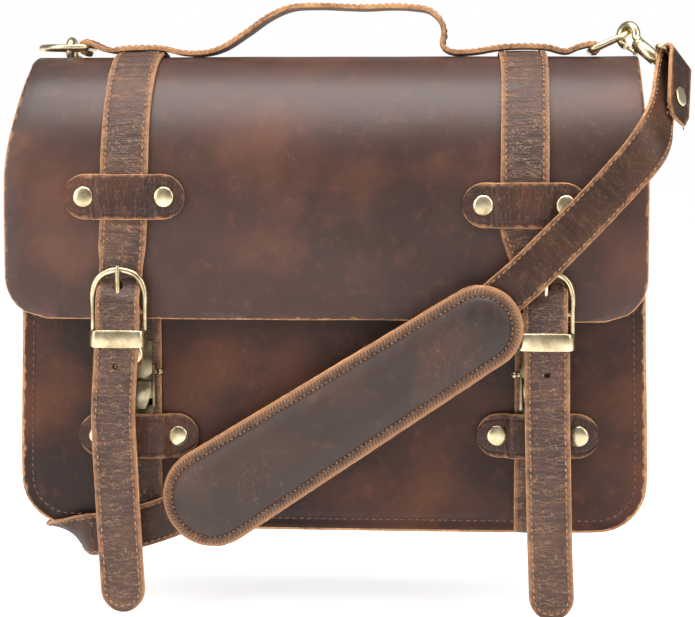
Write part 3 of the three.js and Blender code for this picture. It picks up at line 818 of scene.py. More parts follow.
def tube_body(line: np.ndarray, radius: float | np.ndarray, sides: int = 20, closed: bool = False,
              body: Body | None = None) -> Body:
    """A round wire along a line.

    Args:
        line: places along its middle.
        radius: its radius, the same all along or one a place.
        sides: how many faces go round.
        closed: whether it joins its own start.
        body: what to add to.

    Returns:
        The gathered wire.
    """
    body = body or Body()
    along = tangents(line)
    if closed:
        along = unit(np.roll(line, -1, axis=0) - np.roll(line, 1, axis=0))
    normal = np.cross(along[0], [0.31, 0.52, 0.79])
    frames = []
    for direction in along:
        normal = normal - direction * np.dot(normal, direction)
        normal = normal / np.linalg.norm(normal)
        frames.append(normal)
    frames = np.array(frames)
    other = np.cross(along, frames)
    angle = np.linspace(0, 2 * math.pi, sides, endpoint=False)
    radius = np.broadcast_to(radius, len(line)).astype(float)
    ring = frames[:, None] * np.cos(angle)[None, :, None] + other[:, None] * np.sin(angle)[None, :, None]
    points = line[:, None] + ring * radius[:, None, None]
    body.loft(points, flip=True, closed=closed)
    return body


def lathe_body(profile: Sequence[tuple[float, float]], foot: Sequence[float], axis: Sequence[float],
               sides: int = 32, body: Body | None = None) -> Body:
    """A turned piece.

    Args:
        profile: radius and height pairs from the foot up.
        foot: where height 0 lies.
        axis: the direction of height.
        sides: how many faces go round.
        body: what to add to.

    Returns:
        The gathered piece.
    """
    heights = np.array([h for _, h in profile])
    radii = np.array([r for r, _ in profile])
    axis = unit(np.asarray(axis, float))
    line = np.asarray(foot, float)[None] + axis[None] * heights[:, None]
    body = body or Body()
    normal = unit(np.cross(axis, [0.31, 0.52, 0.79]))
    other = np.cross(axis, normal)
    angle = np.linspace(0, 2 * math.pi, sides, endpoint=False)
    ring = normal[None] * np.cos(angle)[:, None] + other[None] * np.sin(angle)[:, None]
    points = line[:, None] + ring[None] * radii[:, None, None]
    body.loft(points, flip=True)
    return body


def leather_set(finish: LeatherFinish) -> list[bpy.types.Material]:
    """The finishes of a cut strap or sheet: face, cut edge and flesh side."""
    return [finish.material(), RAW_EDGE.material(), FLESH.material()]


HINGE_FROM = (0, -5, 296)
HINGE_TO = (0, -25, 296)


def place(piece: bpy.types.Object, body: str, slot: str, *nodes: str) -> None:
    """Rides a finished piece on its body and hides the CAD nodes that it stands for.

    Args:
        piece: the piece.
        body: the moving body's name.
        slot: not used.
        nodes: the CAD nodes that it stands for.
    """
    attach(piece, body)
    if nodes:
        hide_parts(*nodes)
    LOG.info("%s rides on %s", piece.name, body)


def place_over_hinge(piece: bpy.types.Object, slot: str, *nodes: str) -> None:
    """Bakes a piece's placement into its mesh, riding it on no moving body, and hides the CAD nodes that it
    stands for.

    Args:
        piece: the piece.
        slot: not used.
        nodes: the CAD nodes that it stands for.
    """
    tuple(BENCH.at(HINGE_FROM))
    tuple(BENCH.at(HINGE_TO))
    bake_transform(piece)
    if nodes:
        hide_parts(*nodes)
    LOG.info("%s bends from the bag to the flap", piece.name)


def leather(body: Body, name: str, rides: str, finish: LeatherFinish) -> None:
    """Makes a leather piece that stands for the node of its own name, and places it.

    Args:
        body: its shape.
        name: its name and its node's.
        rides: the moving body's name.
        finish: its leather.
    """
    place(body.make(name, leather_set(finish)), rides, "strap_leather", name)


# ---------------------------------------------------------------- the bag's shell


HIDE = 3.0
HEM = 133.5
BACK_LINE = ((48.5, 2), (48.5, 60), (48.5, 120), (48.5, 190), (48.5, 240), (48, 258), (46.2, 275),
             (40.7, 286.2),
             (32, 293.4), (20, 297.2), (8, 297.6), (-4, 295.8), (-14.6, 292.6))
FRONT_LINE = ((-32, 280.8), (-45, 264.5), (-54, 246), (-59, 225), (-61, 200), (-61.2, 165), (-61, HEM))


def profile_line(lift: float, step: float) -> np.ndarray:
    """The cover's line from the back's foot over the top to the flap's hem.

    Args:
        lift: how far outside the hide's middle it runs.
        step: the spacing of the result.

    Returns:
        Rows of depth and height.
    """
    flat = spline([(0, y, z) for y, z in BACK_LINE + FRONT_LINE], step)
    along = tangents(flat)
    out = np.cross(along, [1.0, 0.0, 0.0])
    return (flat + out * lift)[:, 1:]


def outward(line: np.ndarray) -> np.ndarray:
    """The outward directions of a depth-and-height line, as rows of three."""
    flat = np.concatenate([np.zeros((len(line), 1)), line], axis=1)
    return np.cross(tangents(flat), [1.0, 0.0, 0.0])


@dataclass
class Shell:
    """The back, top and flap in one hide, the gusset and the front panel."""

    half_low: float = 199.5
    half_top: float = 195.0
    left_in: float = 3.6
    corner: float = 30.0
    rim: float = 246.0
    flap_left: float = 203.5
    flap_right: float = 199.0
    hem_corner: float = 26.0

    def outline(self, inset: float, top: float, step: float = 5.0) -> np.ndarray:
        """The U of the bag's front view from top left to top right.

        Args:
            inset: how far inside the cut edge it runs.
            top: the height of its ends.
            step: the spacing of the result.

        Returns:
            Rows of x and z.
        """
        radius = self.corner - inset
        half = self.half_low - inset
        turn = [(x, 0.0, z) for x, z in
                arc(-half + radius, inset + radius, radius, 1.0, 1.5, 8)]
        line = [(-(self.half_top - inset), 0.0, top), (-(self.half_top - inset) - 2.5, 0.0, top * 0.55)]
        line += turn + [(-x, y, z) for x, y, z in reversed(turn)]
        line += [(-x, y, z) for x, y, z in reversed(line[:2])]
        flat = spline(line, step)[:, (0, 2)]
        flat[:, 0] *= np.where(flat[:, 0] < 0, 1 - self.left_in / self.half_low, 1.0)
        return flat

    def half_at(self, z: float, side: int) -> float:
        """Half the back's width at a height.

        Args:
            z: the height.
            side: -1 for the left half, 1 for the right.

        Returns:
            The distance from the middle.
        """
        taper = self.half_low + (self.half_top - self.half_low) * min(z / 260.0, 1.0)
        taper -= self.left_in * (side < 0) * max(0.0, 1 - z / 290.0)
        return rounded_in(taper, self.corner, self.corner - z)

    def flap_half(self, z: float, side: int) -> float:
        """Half the flap's width at a height, wider below than at the fold.

        Args:
            z: the height.
            side: -1 for the left half, 1 for the right.

        Returns:
            The distance from the middle.
        """
        full = self.flap_left if side < 0 else self.flap_right
        wide = self.half_top + (full - self.half_top) * ease(min(1.0, max(0.0, (300 - z) / 80.0)))
        return rounded_in(wide, self.hem_corner, HEM + self.hem_corner - z)

    def cover(self) -> None:
        """Makes and places the back, top and flap."""
        line = profile_line(HIDE / 2, 4.0)
        turn = next(i for i, (y, z) in enumerate(line) if y < -14)
        u = crowded(65, 0.86)
        rows = []
        for i, (y, z) in enumerate(line):
            measure = self.flap_half if i > turn else self.half_at
            x = np.where(u < 0, u * measure(z, -1), u * measure(z, 1))
            rows.append(np.stack([x, np.full(len(u), y), np.full(len(u), z)], axis=1))
        net = np.array(rows)
        outs = np.broadcast_to(outward(line)[:, None], net.shape)
        edge_in = np.minimum(net[:, :, 0] - net[:, :1, 0], net[:, -1:, 0] - net[:, :, 0])
        on_flap = (np.arange(len(net)) > turn)[:, None] * np.ones((1, len(u)))
        sag = ripple(net, 75.0, 3.1) * 1.5 + ripple(net, 26.0, 9.4) * 0.45
        free = np.clip((np.arange(len(net)) - turn) / 30.0, 0, 1)[:, None]
        turned_down = on_flap * np.clip(1 - edge_in / 9, 0, 1)
        net = net + outs * (sag * (0.35 + 0.35 * free) - turned_down)[:, :, None]
        hem = net[-1]
        hem[:, 2] += ripple(hem, 60.0, 5.5) * 0.8
        body = slab(net, HIDE, outs, border=14.0)
        piece = body.make("cover_hide", leather_set(SHELL_LEATHER))
        place_over_hinge(piece, "body_leather", "back_panel", "flap_panel")

    def front(self) -> None:
        """Makes and places the front panel, its seam edge turned a little forward."""
        outline = self.outline(0.0, self.rim, 4.0)
        half = len(outline) // 2 + 1
        u = crowded(61, 0.9)
        rows = []
        for a, b in zip(outline[:half], outline[::-1][:half]):
            middle, span = (a + b) / 2, (b - a) / 2
            rows.append(np.stack([middle[0] + u * span[0], np.zeros(len(u)), middle[1] + u * span[1]],
                                 axis=1))
        net = np.array(rows)
        net = net[np.linalg.norm(net[:, -1] - net[:, 0], axis=1) > 20]
        near = np.minimum(net[:, :, 0] - net[:, :1, 0], net[:, -1:, 0] - net[:, :, 0])
        near = np.minimum(near, net[:, :, 2] - net[-1:, :, 2])
        dish = -1.6 * np.clip(near / 60, 0, 1) + ripple(net, 60.0, 1.2) * 1.0 * np.clip(near / 20, 0, 1)
        groove = -0.7 * np.exp(-((near - 5.5) / 2.2) ** 2)
        net[:, :, 1] = -50.0 - np.clip(dish + groove + 0.6, -2.5, 0.7)
        outs = np.broadcast_to(np.array([0.0, -1.0, 0.0]), net.shape)
        body = slab(net, HIDE, outs, border=13.0, bevel=1.7)
        place(body.make("front_hide", leather_set(BODY_LEATHER)), "bag", "body_leather", "front_panel")

    def gusset(self) -> None:
        """Makes and places the side and base strip, its edges turned out into the two seams."""
        half = [(-46.9, 0.2), (-45.6, 0.0), (-44.0, 0.2), (-42.6, 1.6), (-41.4, 3.6), (-38.0, 4.4),
                (-26.0, 5.2),
                (-12.0, 6.4)]
        depths = half + [(0.0, 7.2)] + [(-y, inset) for y, inset in reversed(half)]
        outer = self.outline(0.0, 290.0, 5.0)
        line = np.stack([outer[:, 0], np.zeros(len(outer)), outer[:, 1]], axis=1)
        inward = np.cross(tangents(line), [0.0, 1.0, 0.0])
        inward *= np.sign(np.sum(inward * (np.array([0, 0, 150.0]) - line), axis=1, keepdims=True))
        net = np.array([[p + n * inset + np.array([0, y, 0]) for y, inset in depths]
                        for p, n in zip(line, inward)])
        deep = np.clip(np.array([i for _, i in depths])[None] / 5.0, 0, 1)
        sag = ripple(net, 45.0, 6.6) * 1.6 * deep
        net = net + inward[:, None] * np.maximum(sag, -1.0)[:, :, None]
        ceiling = 290.0 - np.abs(np.array([y for y, _ in depths])) ** 2 * 0.022
        for i in (*range(12), *range(len(net) - 12, len(net))):
            net[i, :, 2] = np.minimum(net[i, :, 2], ceiling - 2)
        body = slab(net, 2.6, -np.broadcast_to(inward[:, None], net.shape), border=10.0, bevel=0.7)
        place(body.make("gusset_hide", leather_set(BODY_LEATHER)), "bag", "body_leather", "gusset")

    def build(self) -> None:
        """Makes and places every part of the shell."""
        self.cover()
        self.front()
        self.gusset()


# ---------------------------------------------------------------- flap straps, tabs, tails and chapes


@dataclass(frozen=True)
class BuckleSide:
    """Where one side's straps, tabs and buckle lie, in the maker's axes."""

    side: Side
    top: float
    bend: float
    buckle: float
    panel: float
    tab_z: float
    low_tab: float
    low_tab_z: float
    tail_end: float
    hole_z: float
    sway: tuple[float, float, float]
    clasp_rivet: float

    @property
    def name(self) -> str:
        """The side's word."""
        return self.side.value


LEFT = BuckleSide(Side.LEFT, -127, -127, -129.5, -121, 209.8, -121, 57.5, -51.5, 104, (-2.6, 0.8, 3.8), -122)
RIGHT = BuckleSide(Side.RIGHT, 120.3, 123.2, 136.5, 133, 205, 132.6, 60, -52.0, 101, (0.6, 2.4, 4.6), 133)
SIDES = (LEFT, RIGHT)


@dataclass
class Belting:
    """The widths and thicknesses of the strap leather."""

    wide: float = 30.0
    narrow: float = 27.4
    thick: float = 3.0
    gap: float = 0.3
    panel_thick: float = 2.4


@dataclass
class FlapStrap:
    """One strap that starts on the back, runs over the top and down the flap through its buckle."""

    at: BuckleSide
    belt: Belting = field(default_factory=Belting)

    def path(self) -> np.ndarray:
        """Where the strap runs.

        Returns:
            Rows of place and half width.
        """
        lift = HIDE / 2 + self.belt.gap + self.belt.thick / 2 + 0.5
        rows = []
        for y, z in profile_line(lift, 5.0):
            if (y > 0 and z < 84) or (y < 0 and z < 176):
                continue
            settle = min(1.0, max(0.0, (30 - y) / 60))
            rows.append((self.at.top + (self.at.bend - self.at.top) * settle, y, z, self.belt.wide / 2))
        lean_from = self.at.tab_z - 14.2
        for y, z in ((-64.8, 167), (-65.4, 161), (-67.6, 156), (-71.8, 151), (-74.9, 145.5), (-75.9, 139),
                     (-75.6, 128), (-75.0, 116.9)):
            rows.append((0.0, y, z, self.belt.narrow / 2))
        fixed = []
        for x, y, z, half in rows:
            if y < -50 and z < lean_from:
                lean = min(1.0, max(0.0, (lean_from - z) / (lean_from - 153)))
                x = self.at.bend + (self.at.buckle - self.at.bend) * lean
            fixed.append((x, y, z, half))
        return spline(fixed, 2.5)

    def build(self) -> None:
        """Makes and places the strap."""
        path = self.path()
        line, half = path[:, :3], path[:, 3]
        out = np.cross(tangents(line), np.array([1.0, 0.0, 0.0]))
        line = line + out * (ripple(line, 24.0, self.at.top) * 0.25)[:, None]
        line[:, 0] += ripple(line, 90.0, self.at.top * 0.3) * 0.5
        across = np.broadcast_to([1.0, 0.0, 0.0], line.shape)
        body = strap_body(line, across, half + ripple(line, 40.0, 2.0) * 0.2, self.belt.thick, crown=0.35)
        piece = body.make(f"flap_strap_whole_{self.at.name}", leather_set(STRAP_LEATHER))
        slot_hole = lathe_body([(2.7, 0), (2.7, 24)], (self.at.buckle, -82, 154.5), (0, 1, 0), 24)
        cut_out(piece, slot_hole.make("slot_hole", [RAW_EDGE.material()]))
        place_over_hinge(piece, "strap_leather", f"strap_back_{self.at.name}", f"flap_strap_{self.at.name}")


@dataclass
class KeeperTab:
    """A riveted keeper: flat at its rounded ends and raised over the strap in its middle."""

    name: str
    x: float
    z: float
    seat: float
    lift: float
    body: str
    length: float = 77.0
    height: float = 28.5
    thick: float = 2.2
    strap_half: float = 15.0
    droop: float = 0.0

    def build(self) -> None:
        """Makes and places the tab."""
        reach, rise = self.length / 2, self.strap_half + 2.4
        nose = self.height / 2
        xs = np.concatenate([-reach + nose * (1 - np.cos(np.linspace(0.12, 1, 9) * math.pi / 2)),
                             np.linspace(-reach + nose, reach - nose, 41)[1:-1],
                             reach - nose * (1 - np.cos(np.linspace(1, 0.12, 9) * math.pi / 2))])
        step = np.clip((rise + 3.4 - np.abs(xs)) / 5.0, 0, 1)
        height = self.lift * ease(step)
        line = np.stack([self.x + xs, self.seat - height - self.thick / 2,
                         self.z - self.droop * (xs / reach)], axis=1)
        inner = np.clip((reach - np.abs(xs)) / nose, 0, 1)
        half = nose * np.sqrt(np.clip(1 - (1 - inner) ** 2, 0.02, 1))
        half = half + ripple(line, 20.0, self.x) * 0.25
        across = np.broadcast_to([0.0, 0.0, 1.0], line.shape)
        body = strap_body(line, across, half, self.thick, crown=0.3, columns=13)
        leather(body, self.name, self.body, TAB_LEATHER)


@dataclass
class Tail:
    """The free end of a flap strap below its buckle, rounded at its tip, with one punched hole."""

    at: BuckleSide
    half: float = 13.9
    thick: float = 3.0
    top: float = 116.3
    depth: float = -75.0
    hole: float = 2.0

    def centre(self, z: float) -> float:
        """The middle of the strap at a height.

        Args:
            z: the height.

        Returns:
            Its place across the bag.
        """
        start = self.at.buckle + math.copysign(1.0, self.at.buckle)
        heights = (self.at.tail_end, 0.0, 70.0, self.top)
        sways = (self.at.sway[2], self.at.sway[1], self.at.sway[0], 0.0)
        return start + float(np.interp(z, heights, sways))

    def build(self) -> None:
        """Makes and places the tail."""
        low = self.at.tail_end
        nose = self.half * 1.05
        zs = np.concatenate([np.linspace(self.top, low + nose, 66)[:-1],
                             low + nose * (1 - np.sin(np.linspace(0, 0.93, 12) * math.pi / 2))])
        soft = spline([(self.centre(z), 0.0, z) for z in np.linspace(self.top, low, 9)], 2.0)
        xs = np.interp(-zs, -soft[:, 2], soft[:, 0])
        line = np.stack([xs, [self.bow(z) for z in zs], zs], axis=1)
        inner = np.clip((zs - low) / nose, 0, 1)
        half = self.half * np.sqrt(np.clip(1 - (1 - inner) ** 2, 0.02, 1)) + ripple(line, 40.0, 8.0) * 0.2
        across = np.broadcast_to([1.0, 0.0, 0.0], line.shape)
        body = strap_body(line, across, half, self.thick, crown=0.35, columns=13)
        piece = body.make(f"tail_{self.at.name}", leather_set(STRAP_LEATHER))
        self.punch(piece)
        place(piece, f"tail_{self.at.name}", "strap_leather", f"tail_{self.at.name}")

    def seam(self) -> np.ndarray:
        """The row of stitches down one edge, round the tip and up the other.

        Returns:
            Its places.
        """
        reach = self.half * SEAM_AT
        middle = self.at.tail_end + self.half * 1.05
        heights = np.linspace(self.top - 2, middle, 36)
        down = [(self.centre(z) - reach, z) for z in heights]
        tip = arc(self.centre(middle), middle, reach, 1.0, 2.0, 14)[1:-1]
        up = [(self.centre(z) + reach, z) for z in heights[::-1]]
        return np.array([(x, self.bow(z) - self.thick / 2 - 0.05, z) for x, z in down + tip + up])

    def bow(self, z: float) -> float:
        """The depth of the strap's middle at a height, with its slight curl."""
        curl = float(ripple(np.array([[0.0, 0.0, z]]), 60.0, self.at.buckle)[0]) * 1.1
        return self.depth + curl * min(1.0, max(0.0, (self.top - z) / 30))

    def punch(self, piece: bpy.types.Object) -> None:
        """Cuts the round hole through the tail.

        Args:
            piece: the tail.
        """
        x = self.centre(self.at.hole_z)
        drill = lathe_body([(self.hole, 0), (self.hole, 20)], (x, self.depth - 10, self.at.hole_z), (0, 1, 0),
                           24)
        cut_out(piece, drill.make("drill", [RAW_EDGE.material()]))


def cut_out(piece: bpy.types.Object, tool: bpy.types.Object) -> None:
    """Cuts a tool's solid out of a piece and deletes the tool.

    Args:
        piece: the piece.
        tool: the solid to take away.
    """
    cut = piece.modifiers.new("cut", "BOOLEAN")
    cut.object, cut.operation, cut.solver = tool, "DIFFERENCE", "EXACT"
    apply_modifiers(piece)
    bpy.data.objects.remove(tool)


def apply_modifiers(piece: bpy.types.Object) -> None:
    """Makes a piece's modifiers part of its mesh.

    Args:
        piece: the piece.
    """
    shape = bpy.data.meshes.new_from_object(piece.evaluated_get(bpy.context.evaluated_depsgraph_get()))
    piece.modifiers.clear()
    old = piece.data
    piece.data = shape
    bpy.data.meshes.remove(old)


@dataclass
class PanelStrap:
    """The short strap on the front panel under one buckle, its end tucked under the base."""

    at: BuckleSide
    belt: Belting = field(default_factory=Belting)

    def build(self) -> None:
        """Makes and places the strap."""
        stations = [(-51.6, 150), (-51.6, 80), (-51.7, 16), (-52.3, 5), (-51.0, -0.6), (-45.5, -1.6),
                    (-20, -1.4)]
        line = spline([(self.at.panel, y, z) for y, z in stations], 2.5)
        across = np.broadcast_to([1.0, 0.0, 0.0], line.shape)
        half = self.belt.wide / 2 + ripple(line, 40.0, self.at.panel) * 0.3
        body = strap_body(line, across, half, self.belt.panel_thick, crown=0.3)
        leather(body, f"panel_strap_{self.at.name}", "bag", STRAP_LEATHER)


@dataclass
class Chape:
    """The leather loop that holds a buckle's bar and carries the clasp's hook plate."""

    at: BuckleSide
    half: float = 13.6
    thick: float = 1.6
    bar: tuple[float, float] = (-70.0, 138.0)
    turn: float = 2.4

    def build(self) -> None:
        """Makes and places the chape."""
        y, z = self.bar
        over = arc(y, z, self.turn, 1.0, 0.0, 8)
        stations = [(y - self.turn, z - 9)] + over + [(y + self.turn, z - 8), (-63.8, 121), (-63.4, 104)]
        line = spline([(self.at.buckle, a, b) for a, b in stations], 1.2)
        across = np.broadcast_to([-1.0, 0.0, 0.0], line.shape)
        body = strap_body(line, across, np.full(len(line), self.half), self.thick, crown=0.1, bevel=0.3)
        leather(body, f"chape_{self.at.name}", "flap", STRAP_LEATHER)


# ---------------------------------------------------------------- metalwork


def metal(body: Body, name: str, rides: str, finish: MetalFinish = BRASS) -> None:
    """Makes a brass piece that stands for the node of its own name, and places it.

    Args:
        body: its shape.
        name: its name and its node's.
        rides: the moving body's name.
        finish: its metal.
    """
    place(body.make(name, [finish.material()], sharp=50.0), rides, "antique_brass", name)


def plate_body(outline: Sequence[tuple[float, float]], front: float, back: float, bevel: float,
               body: Body | None = None) -> Body:
    """A flat plate facing forward with bevelled arrises.

    Args:
        outline: its corners in x and z, anticlockwise from the front.
        front, back: the depths of its faces.
        bevel: the arris.
        body: what to add to.

    Returns:
        The gathered plate.
    """
    body = body or Body()
    ring = np.array(outline, float)
    middle = ring.mean(axis=0)
    reach = np.abs(ring - middle).max()
    levels = [(front, bevel), (front + bevel, 0.0), (back - bevel, 0.0), (back, bevel)]
    net = np.array([[(*(middle + (p - middle) * (1 - inset / reach)), y) for p in ring]
                    for y, inset in levels])
    body.loft(net[:, :, (0, 2, 1)])
    return body


@dataclass
class Buckle:
    """An arched round-wire buckle with its bar, its wide keeper bar and its tongue."""

    at: BuckleSide
    y: float = -70.0
    wire: float = 1.75
    half: float = 16.2
    bar: float = 1.3
    bar_z: float = 138.0
    keeper_low: float = 116.4
    keeper_high: float = 126.6

    def frame(self) -> None:
        """Makes and places the bow, the bar and the keeper."""
        h = self.half
        side = [(-h, self.y, self.keeper_low + 2.5), (-h, self.y, 128), (-h, self.y, 140),
                (-h - 0.1, self.y, 150),
                (-h + 1.6, self.y, 156.5), (-h + 5.6, self.y, 161.2), (-h + 10.5, self.y, 163.4)]
        bow = side + [(0.0, self.y, 164.2)] + [(-x, y, z) for x, y, z in reversed(side)]
        line = spline(bow, 1.6)
        thick = self.wire * (1 + 0.16 * np.clip((line[:, 2] - 140) / 22, 0, 1))
        body = tube_body(line + [self.at.buckle, 0, 0], thick, 18)
        tube_body(np.array([[-h, self.y, self.bar_z], [0, self.y, self.bar_z], [h, self.y, self.bar_z]])
                  + [self.at.buckle, 0, 0], self.bar, 14, body=body)
        self.keeper(body)
        metal(body, f"buckle_frame_{self.at.name}", "flap")

    def keeper(self, body: Body) -> None:
        """Adds the wide arched bar under which the strap passes.

        Args:
            body: the buckle's frame.
        """
        reach = self.half + self.wire + 0.3
        xs = np.linspace(-reach, reach, 33)
        fall = np.clip((np.abs(xs) - reach + 4.2) / 4.2, 0, 1)
        middle, span = (self.keeper_low + self.keeper_high) / 2, (self.keeper_high - self.keeper_low) / 2
        section = [(-1.0, 0.55), (-0.86, 0.95), (-0.5, 1.18), (0.0, 1.28), (0.5, 1.18), (0.86, 0.95),
                   (1.0, 0.55),
                   (0.94, 0.0), (-0.94, 0.0)]
        rows = []
        for x, down in zip(xs, fall):
            base = -76.9 + 5.4 * down ** 2
            waist = span * (1 + 0.08 * (1 - (x / reach) ** 2))
            rows.append([(x + self.at.buckle, base - 1.35 * h, middle + waist * v) for v, h in section])
        body.loft(np.array(rows))

    def tongue(self) -> None:
        """Makes and places the prong with its collar round the bar."""
        x = self.at.buckle
        prong = spline([(x, self.y - 1.8, self.bar_z + 1.4), (x, self.y - 2.6, 148), (x, self.y - 3.5, 157),
                        (x, self.y - 3.7, 164), (x, self.y - 3.2, 167.0)], 1.2)
        run = run_of(prong) / run_of(prong)[-1]
        body = tube_body(prong, 1.55 - 0.25 * run ** 4, 14)
        ring = [(x, self.y + 2.45 * math.cos(a), self.bar_z + 2.45 * math.sin(a))
                for a in np.linspace(0, 2 * math.pi, 25)[:-1]]
        tube_body(np.array(ring), 1.0, 10, closed=True, body=body)
        metal(body, f"buckle_tongue_{self.at.name}", f"tongue_{self.at.name}")

    def build(self) -> None:
        """Makes and places both parts."""
        self.frame()
        self.tongue()


@dataclass
class Clasp:
    """The press clasp under a buckle: frame with its pin, lever, and hook plate on the flap."""

    at: BuckleSide

    def build(self) -> None:
        """Makes and places the parts."""
        x = self.at.panel
        body = plate_body([(x - 12, 77), (x + 12, 77), (x + 12, 103), (x - 12, 103)], -54.2, -53.0, 0.3)
        plate_body([(x - 10, self.at.low_tab_z - 8), (x + 10, self.at.low_tab_z - 8), (x + 10, 82),
                    (x - 10, 82)],
                   -54.2, -53.0, 0.3, body=body)
        for side in (-1, 1):
            inner, outer = sorted((x + side * 10.6, x + side * 12))
            plate_body([(inner, 77), (outer, 77), (outer, 103), (inner, 103)], -59.5, -53.0, 0.3, body=body)
            lathe_body([(0.3, -2.2), (1.5, -1.7), (2.3, 0), (1.5, 1.7), (0.3, 2.2)],
                       (x + side * 15, -57.6, 99), (1, 0, 0), 18, body=body)
        tube_body(np.array([[x - 14.5, -57.6, 99], [x, -57.6, 99], [x + 14.5, -57.6, 99]]), 1.5, 16,
                  body=body)
        metal(body, f"clasp_frame_{self.at.name}", "bag", DARK_BRASS)
        lever = [(x - 6, 75.6), (x + 6, 75.6), (x + 8.2, 80), (x + 10, 88), (x + 10, 93), (x - 10, 93),
                 (x - 10, 88), (x - 8.2, 80)]
        press = plate_body(lever, -61.1, -59.7, 0.4)
        tube_body(np.array([[x - 10, -59.5, 92], [x, -59.5, 92], [x + 10, -59.5, 92]]), 1.6, 14, body=press)
        metal(press, f"clasp_lever_{self.at.name}", f"lever_{self.at.name}", DARK_BRASS)
        hook = [(x - 7, 95.5), (x + 7, 95.5), (x + 11, 98.5), (x + 11, 119), (x - 11, 119), (x - 11, 98.5)]
        metal(plate_body(hook, -62.2, -61.0, 0.35), f"clasp_hook_{self.at.name}", "flap", DARK_BRASS)


RIVET_HEAD = ((5.95, -0.05), (6.3, 0.25), (6.25, 0.6), (5.85, 0.98), (4.8, 1.32), (3.3, 1.6), (1.7, 1.76),
              (0.3, 1.8))


def faced_points(name: str, points: Sequence[Point], edges: list[tuple[int, int]],
                 facings: Sequence[Point]) -> bpy.types.Object:
    """Points and edges for a node tree to work on, each point with the way it looks.

    Args:
        name: the object's name.
        points: places in the maker's axes.
        edges: the pairs of points that are joined.
        facings: the way that each point looks.

    Returns:
        The object.
    """
    mesh = bpy.data.meshes.new(name)
    mesh.from_pydata([tuple(BENCH.at(p)) for p in points], edges, [])
    facing = mesh.attributes.new("facing", "FLOAT_VECTOR", "POINT")
    facing.data.foreach_set("vector", np.array(facings, float).reshape(-1))
    host = bpy.data.objects.new(name, mesh)
    bpy.context.scene.collection.objects.link(host)
    return host


@dataclass
class StudField:
    """Domed rivet caps set on points by a node tree, one object a body."""

    name: str
    body: str
    places: list = field(default_factory=list)
    nodes: list = field(default_factory=list)

    def add(self, node: str, spot: Sequence[float], direction: Sequence[float] = (0, -1, 0)) -> None:
        """Adds one rivet."""
        self.places.append((spot, direction))
        self.nodes.append(node)

    def build(self) -> None:
        """Makes the caps and places them."""
        cap = lathe_body(RIVET_HEAD, (0, 0, 0), (0, 0, 1), 36).make("rivet_cap", [BRASS.material()])
        cap.data.transform(Matrix.Translation(-BENCH.at((0, 0, 0))))
        spots, directions = zip(*self.places)
        host = faced_points(self.name, spots, [], directions)
        run_tree(host, stud_tree(), {"Cap": cap, "Finish": BRASS.material(), "Seed": 7})
        bpy.data.objects.remove(cap)
        place(host, self.body, "antique_brass", *self.nodes)


def tree_with(name: str, takes: Sequence[tuple[str, str, object]]) -> bpy.types.NodeTree:
    """Starts a geometry tree with a geometry input and output and named inputs.

    Args:
        name: the tree's name.
        takes: each input's name, socket type and default.

    Returns:
        The tree.
    """
    tree = bpy.data.node_groups.new(name, "GeometryNodeTree")
    tree.interface.new_socket(name="Geometry", in_out="INPUT", socket_type="NodeSocketGeometry")
    for label, kind, value in takes:
        socket = tree.interface.new_socket(name=label, in_out="INPUT", socket_type=kind)
        if value is not None:
            socket.default_value = value
    tree.interface.new_socket(name="Geometry", in_out="OUTPUT", socket_type="NodeSocketGeometry")
    return tree


def run_tree(host: bpy.types.Object, tree: bpy.types.NodeTree, values: dict[str, object]) -> None:
    """Runs a geometry tree on an object and keeps its result as a plain mesh.

    Args:
        host: the object.
        tree: the tree.
        values: the named inputs' values.
    """
    nodes = host.modifiers.new("nodes", "NODES")
    nodes.node_group = tree
    for item in tree.interface.items_tree:
        if item.item_type == "SOCKET" and item.in_out == "INPUT" and item.name in values:
            nodes[item.identifier] = values[item.name]
    host.update_tag()
    apply_modifiers(host)


def faced(w: Wires) -> bpy.types.NodeSocket:
    """A rotation whose Z looks along the point's own facing."""
    facing = w.add("GeometryNodeInputNamedAttribute", data_type="FLOAT_VECTOR", in_Name="facing")
    return w.add("FunctionNodeAlignRotationToVector", axis="Z", in_Vector=facing.outputs[0]).outputs[0]


def turned(w: Wires, rotation: bpy.types.NodeSocket, angle: bpy.types.NodeSocket) -> bpy.types.NodeSocket:
    """A rotation turned further about its own Z."""
    turn = w.add("FunctionNodeAxisAngleToRotation", in_Angle=angle)
    return w.add("FunctionNodeRotateRotation", rotation_space="LOCAL", in_0=rotation,
                 in_1=turn.outputs[0]).outputs[0]


@cache
def stud_tree() -> bpy.types.NodeTree:
    """Sets a cap on each point, turned to its facing and spun a little at random.

    Returns:
        The geometry tree.
    """
    tree = tree_with("Studs on points",
                     [("Cap", "NodeSocketObject", None), ("Finish", "NodeSocketMaterial", None),
                                         ("Seed", "NodeSocketInt", 7)])
    w = Wires(tree)
    entry, leave = w.add("NodeGroupInput"), w.add("NodeGroupOutput")
    cap = w.add("GeometryNodeObjectInfo", transform_space="ORIGINAL", in_Object=entry.outputs["Cap"])
    spin = w.add("FunctionNodeRandomValue", data_type="FLOAT", in_Seed=entry.outputs["Seed"])
    turn = turned(w, faced(w), w.maths("MULTIPLY", spin.outputs[1], 2 * math.pi))
    copies = w.add("GeometryNodeInstanceOnPoints", in_Points=entry.outputs["Geometry"],
                   in_Instance=cap.outputs["Geometry"], in_Rotation=turn)
    solid = w.add("GeometryNodeRealizeInstances", in_Geometry=copies.outputs[0])
    painted = w.add("GeometryNodeSetMaterial", in_Geometry=solid.outputs[0],
                    in_Material=entry.outputs["Finish"])
    w.join(painted.outputs[0], leave.inputs[0])
    return tree


# ---------------------------------------------------------------- stitches


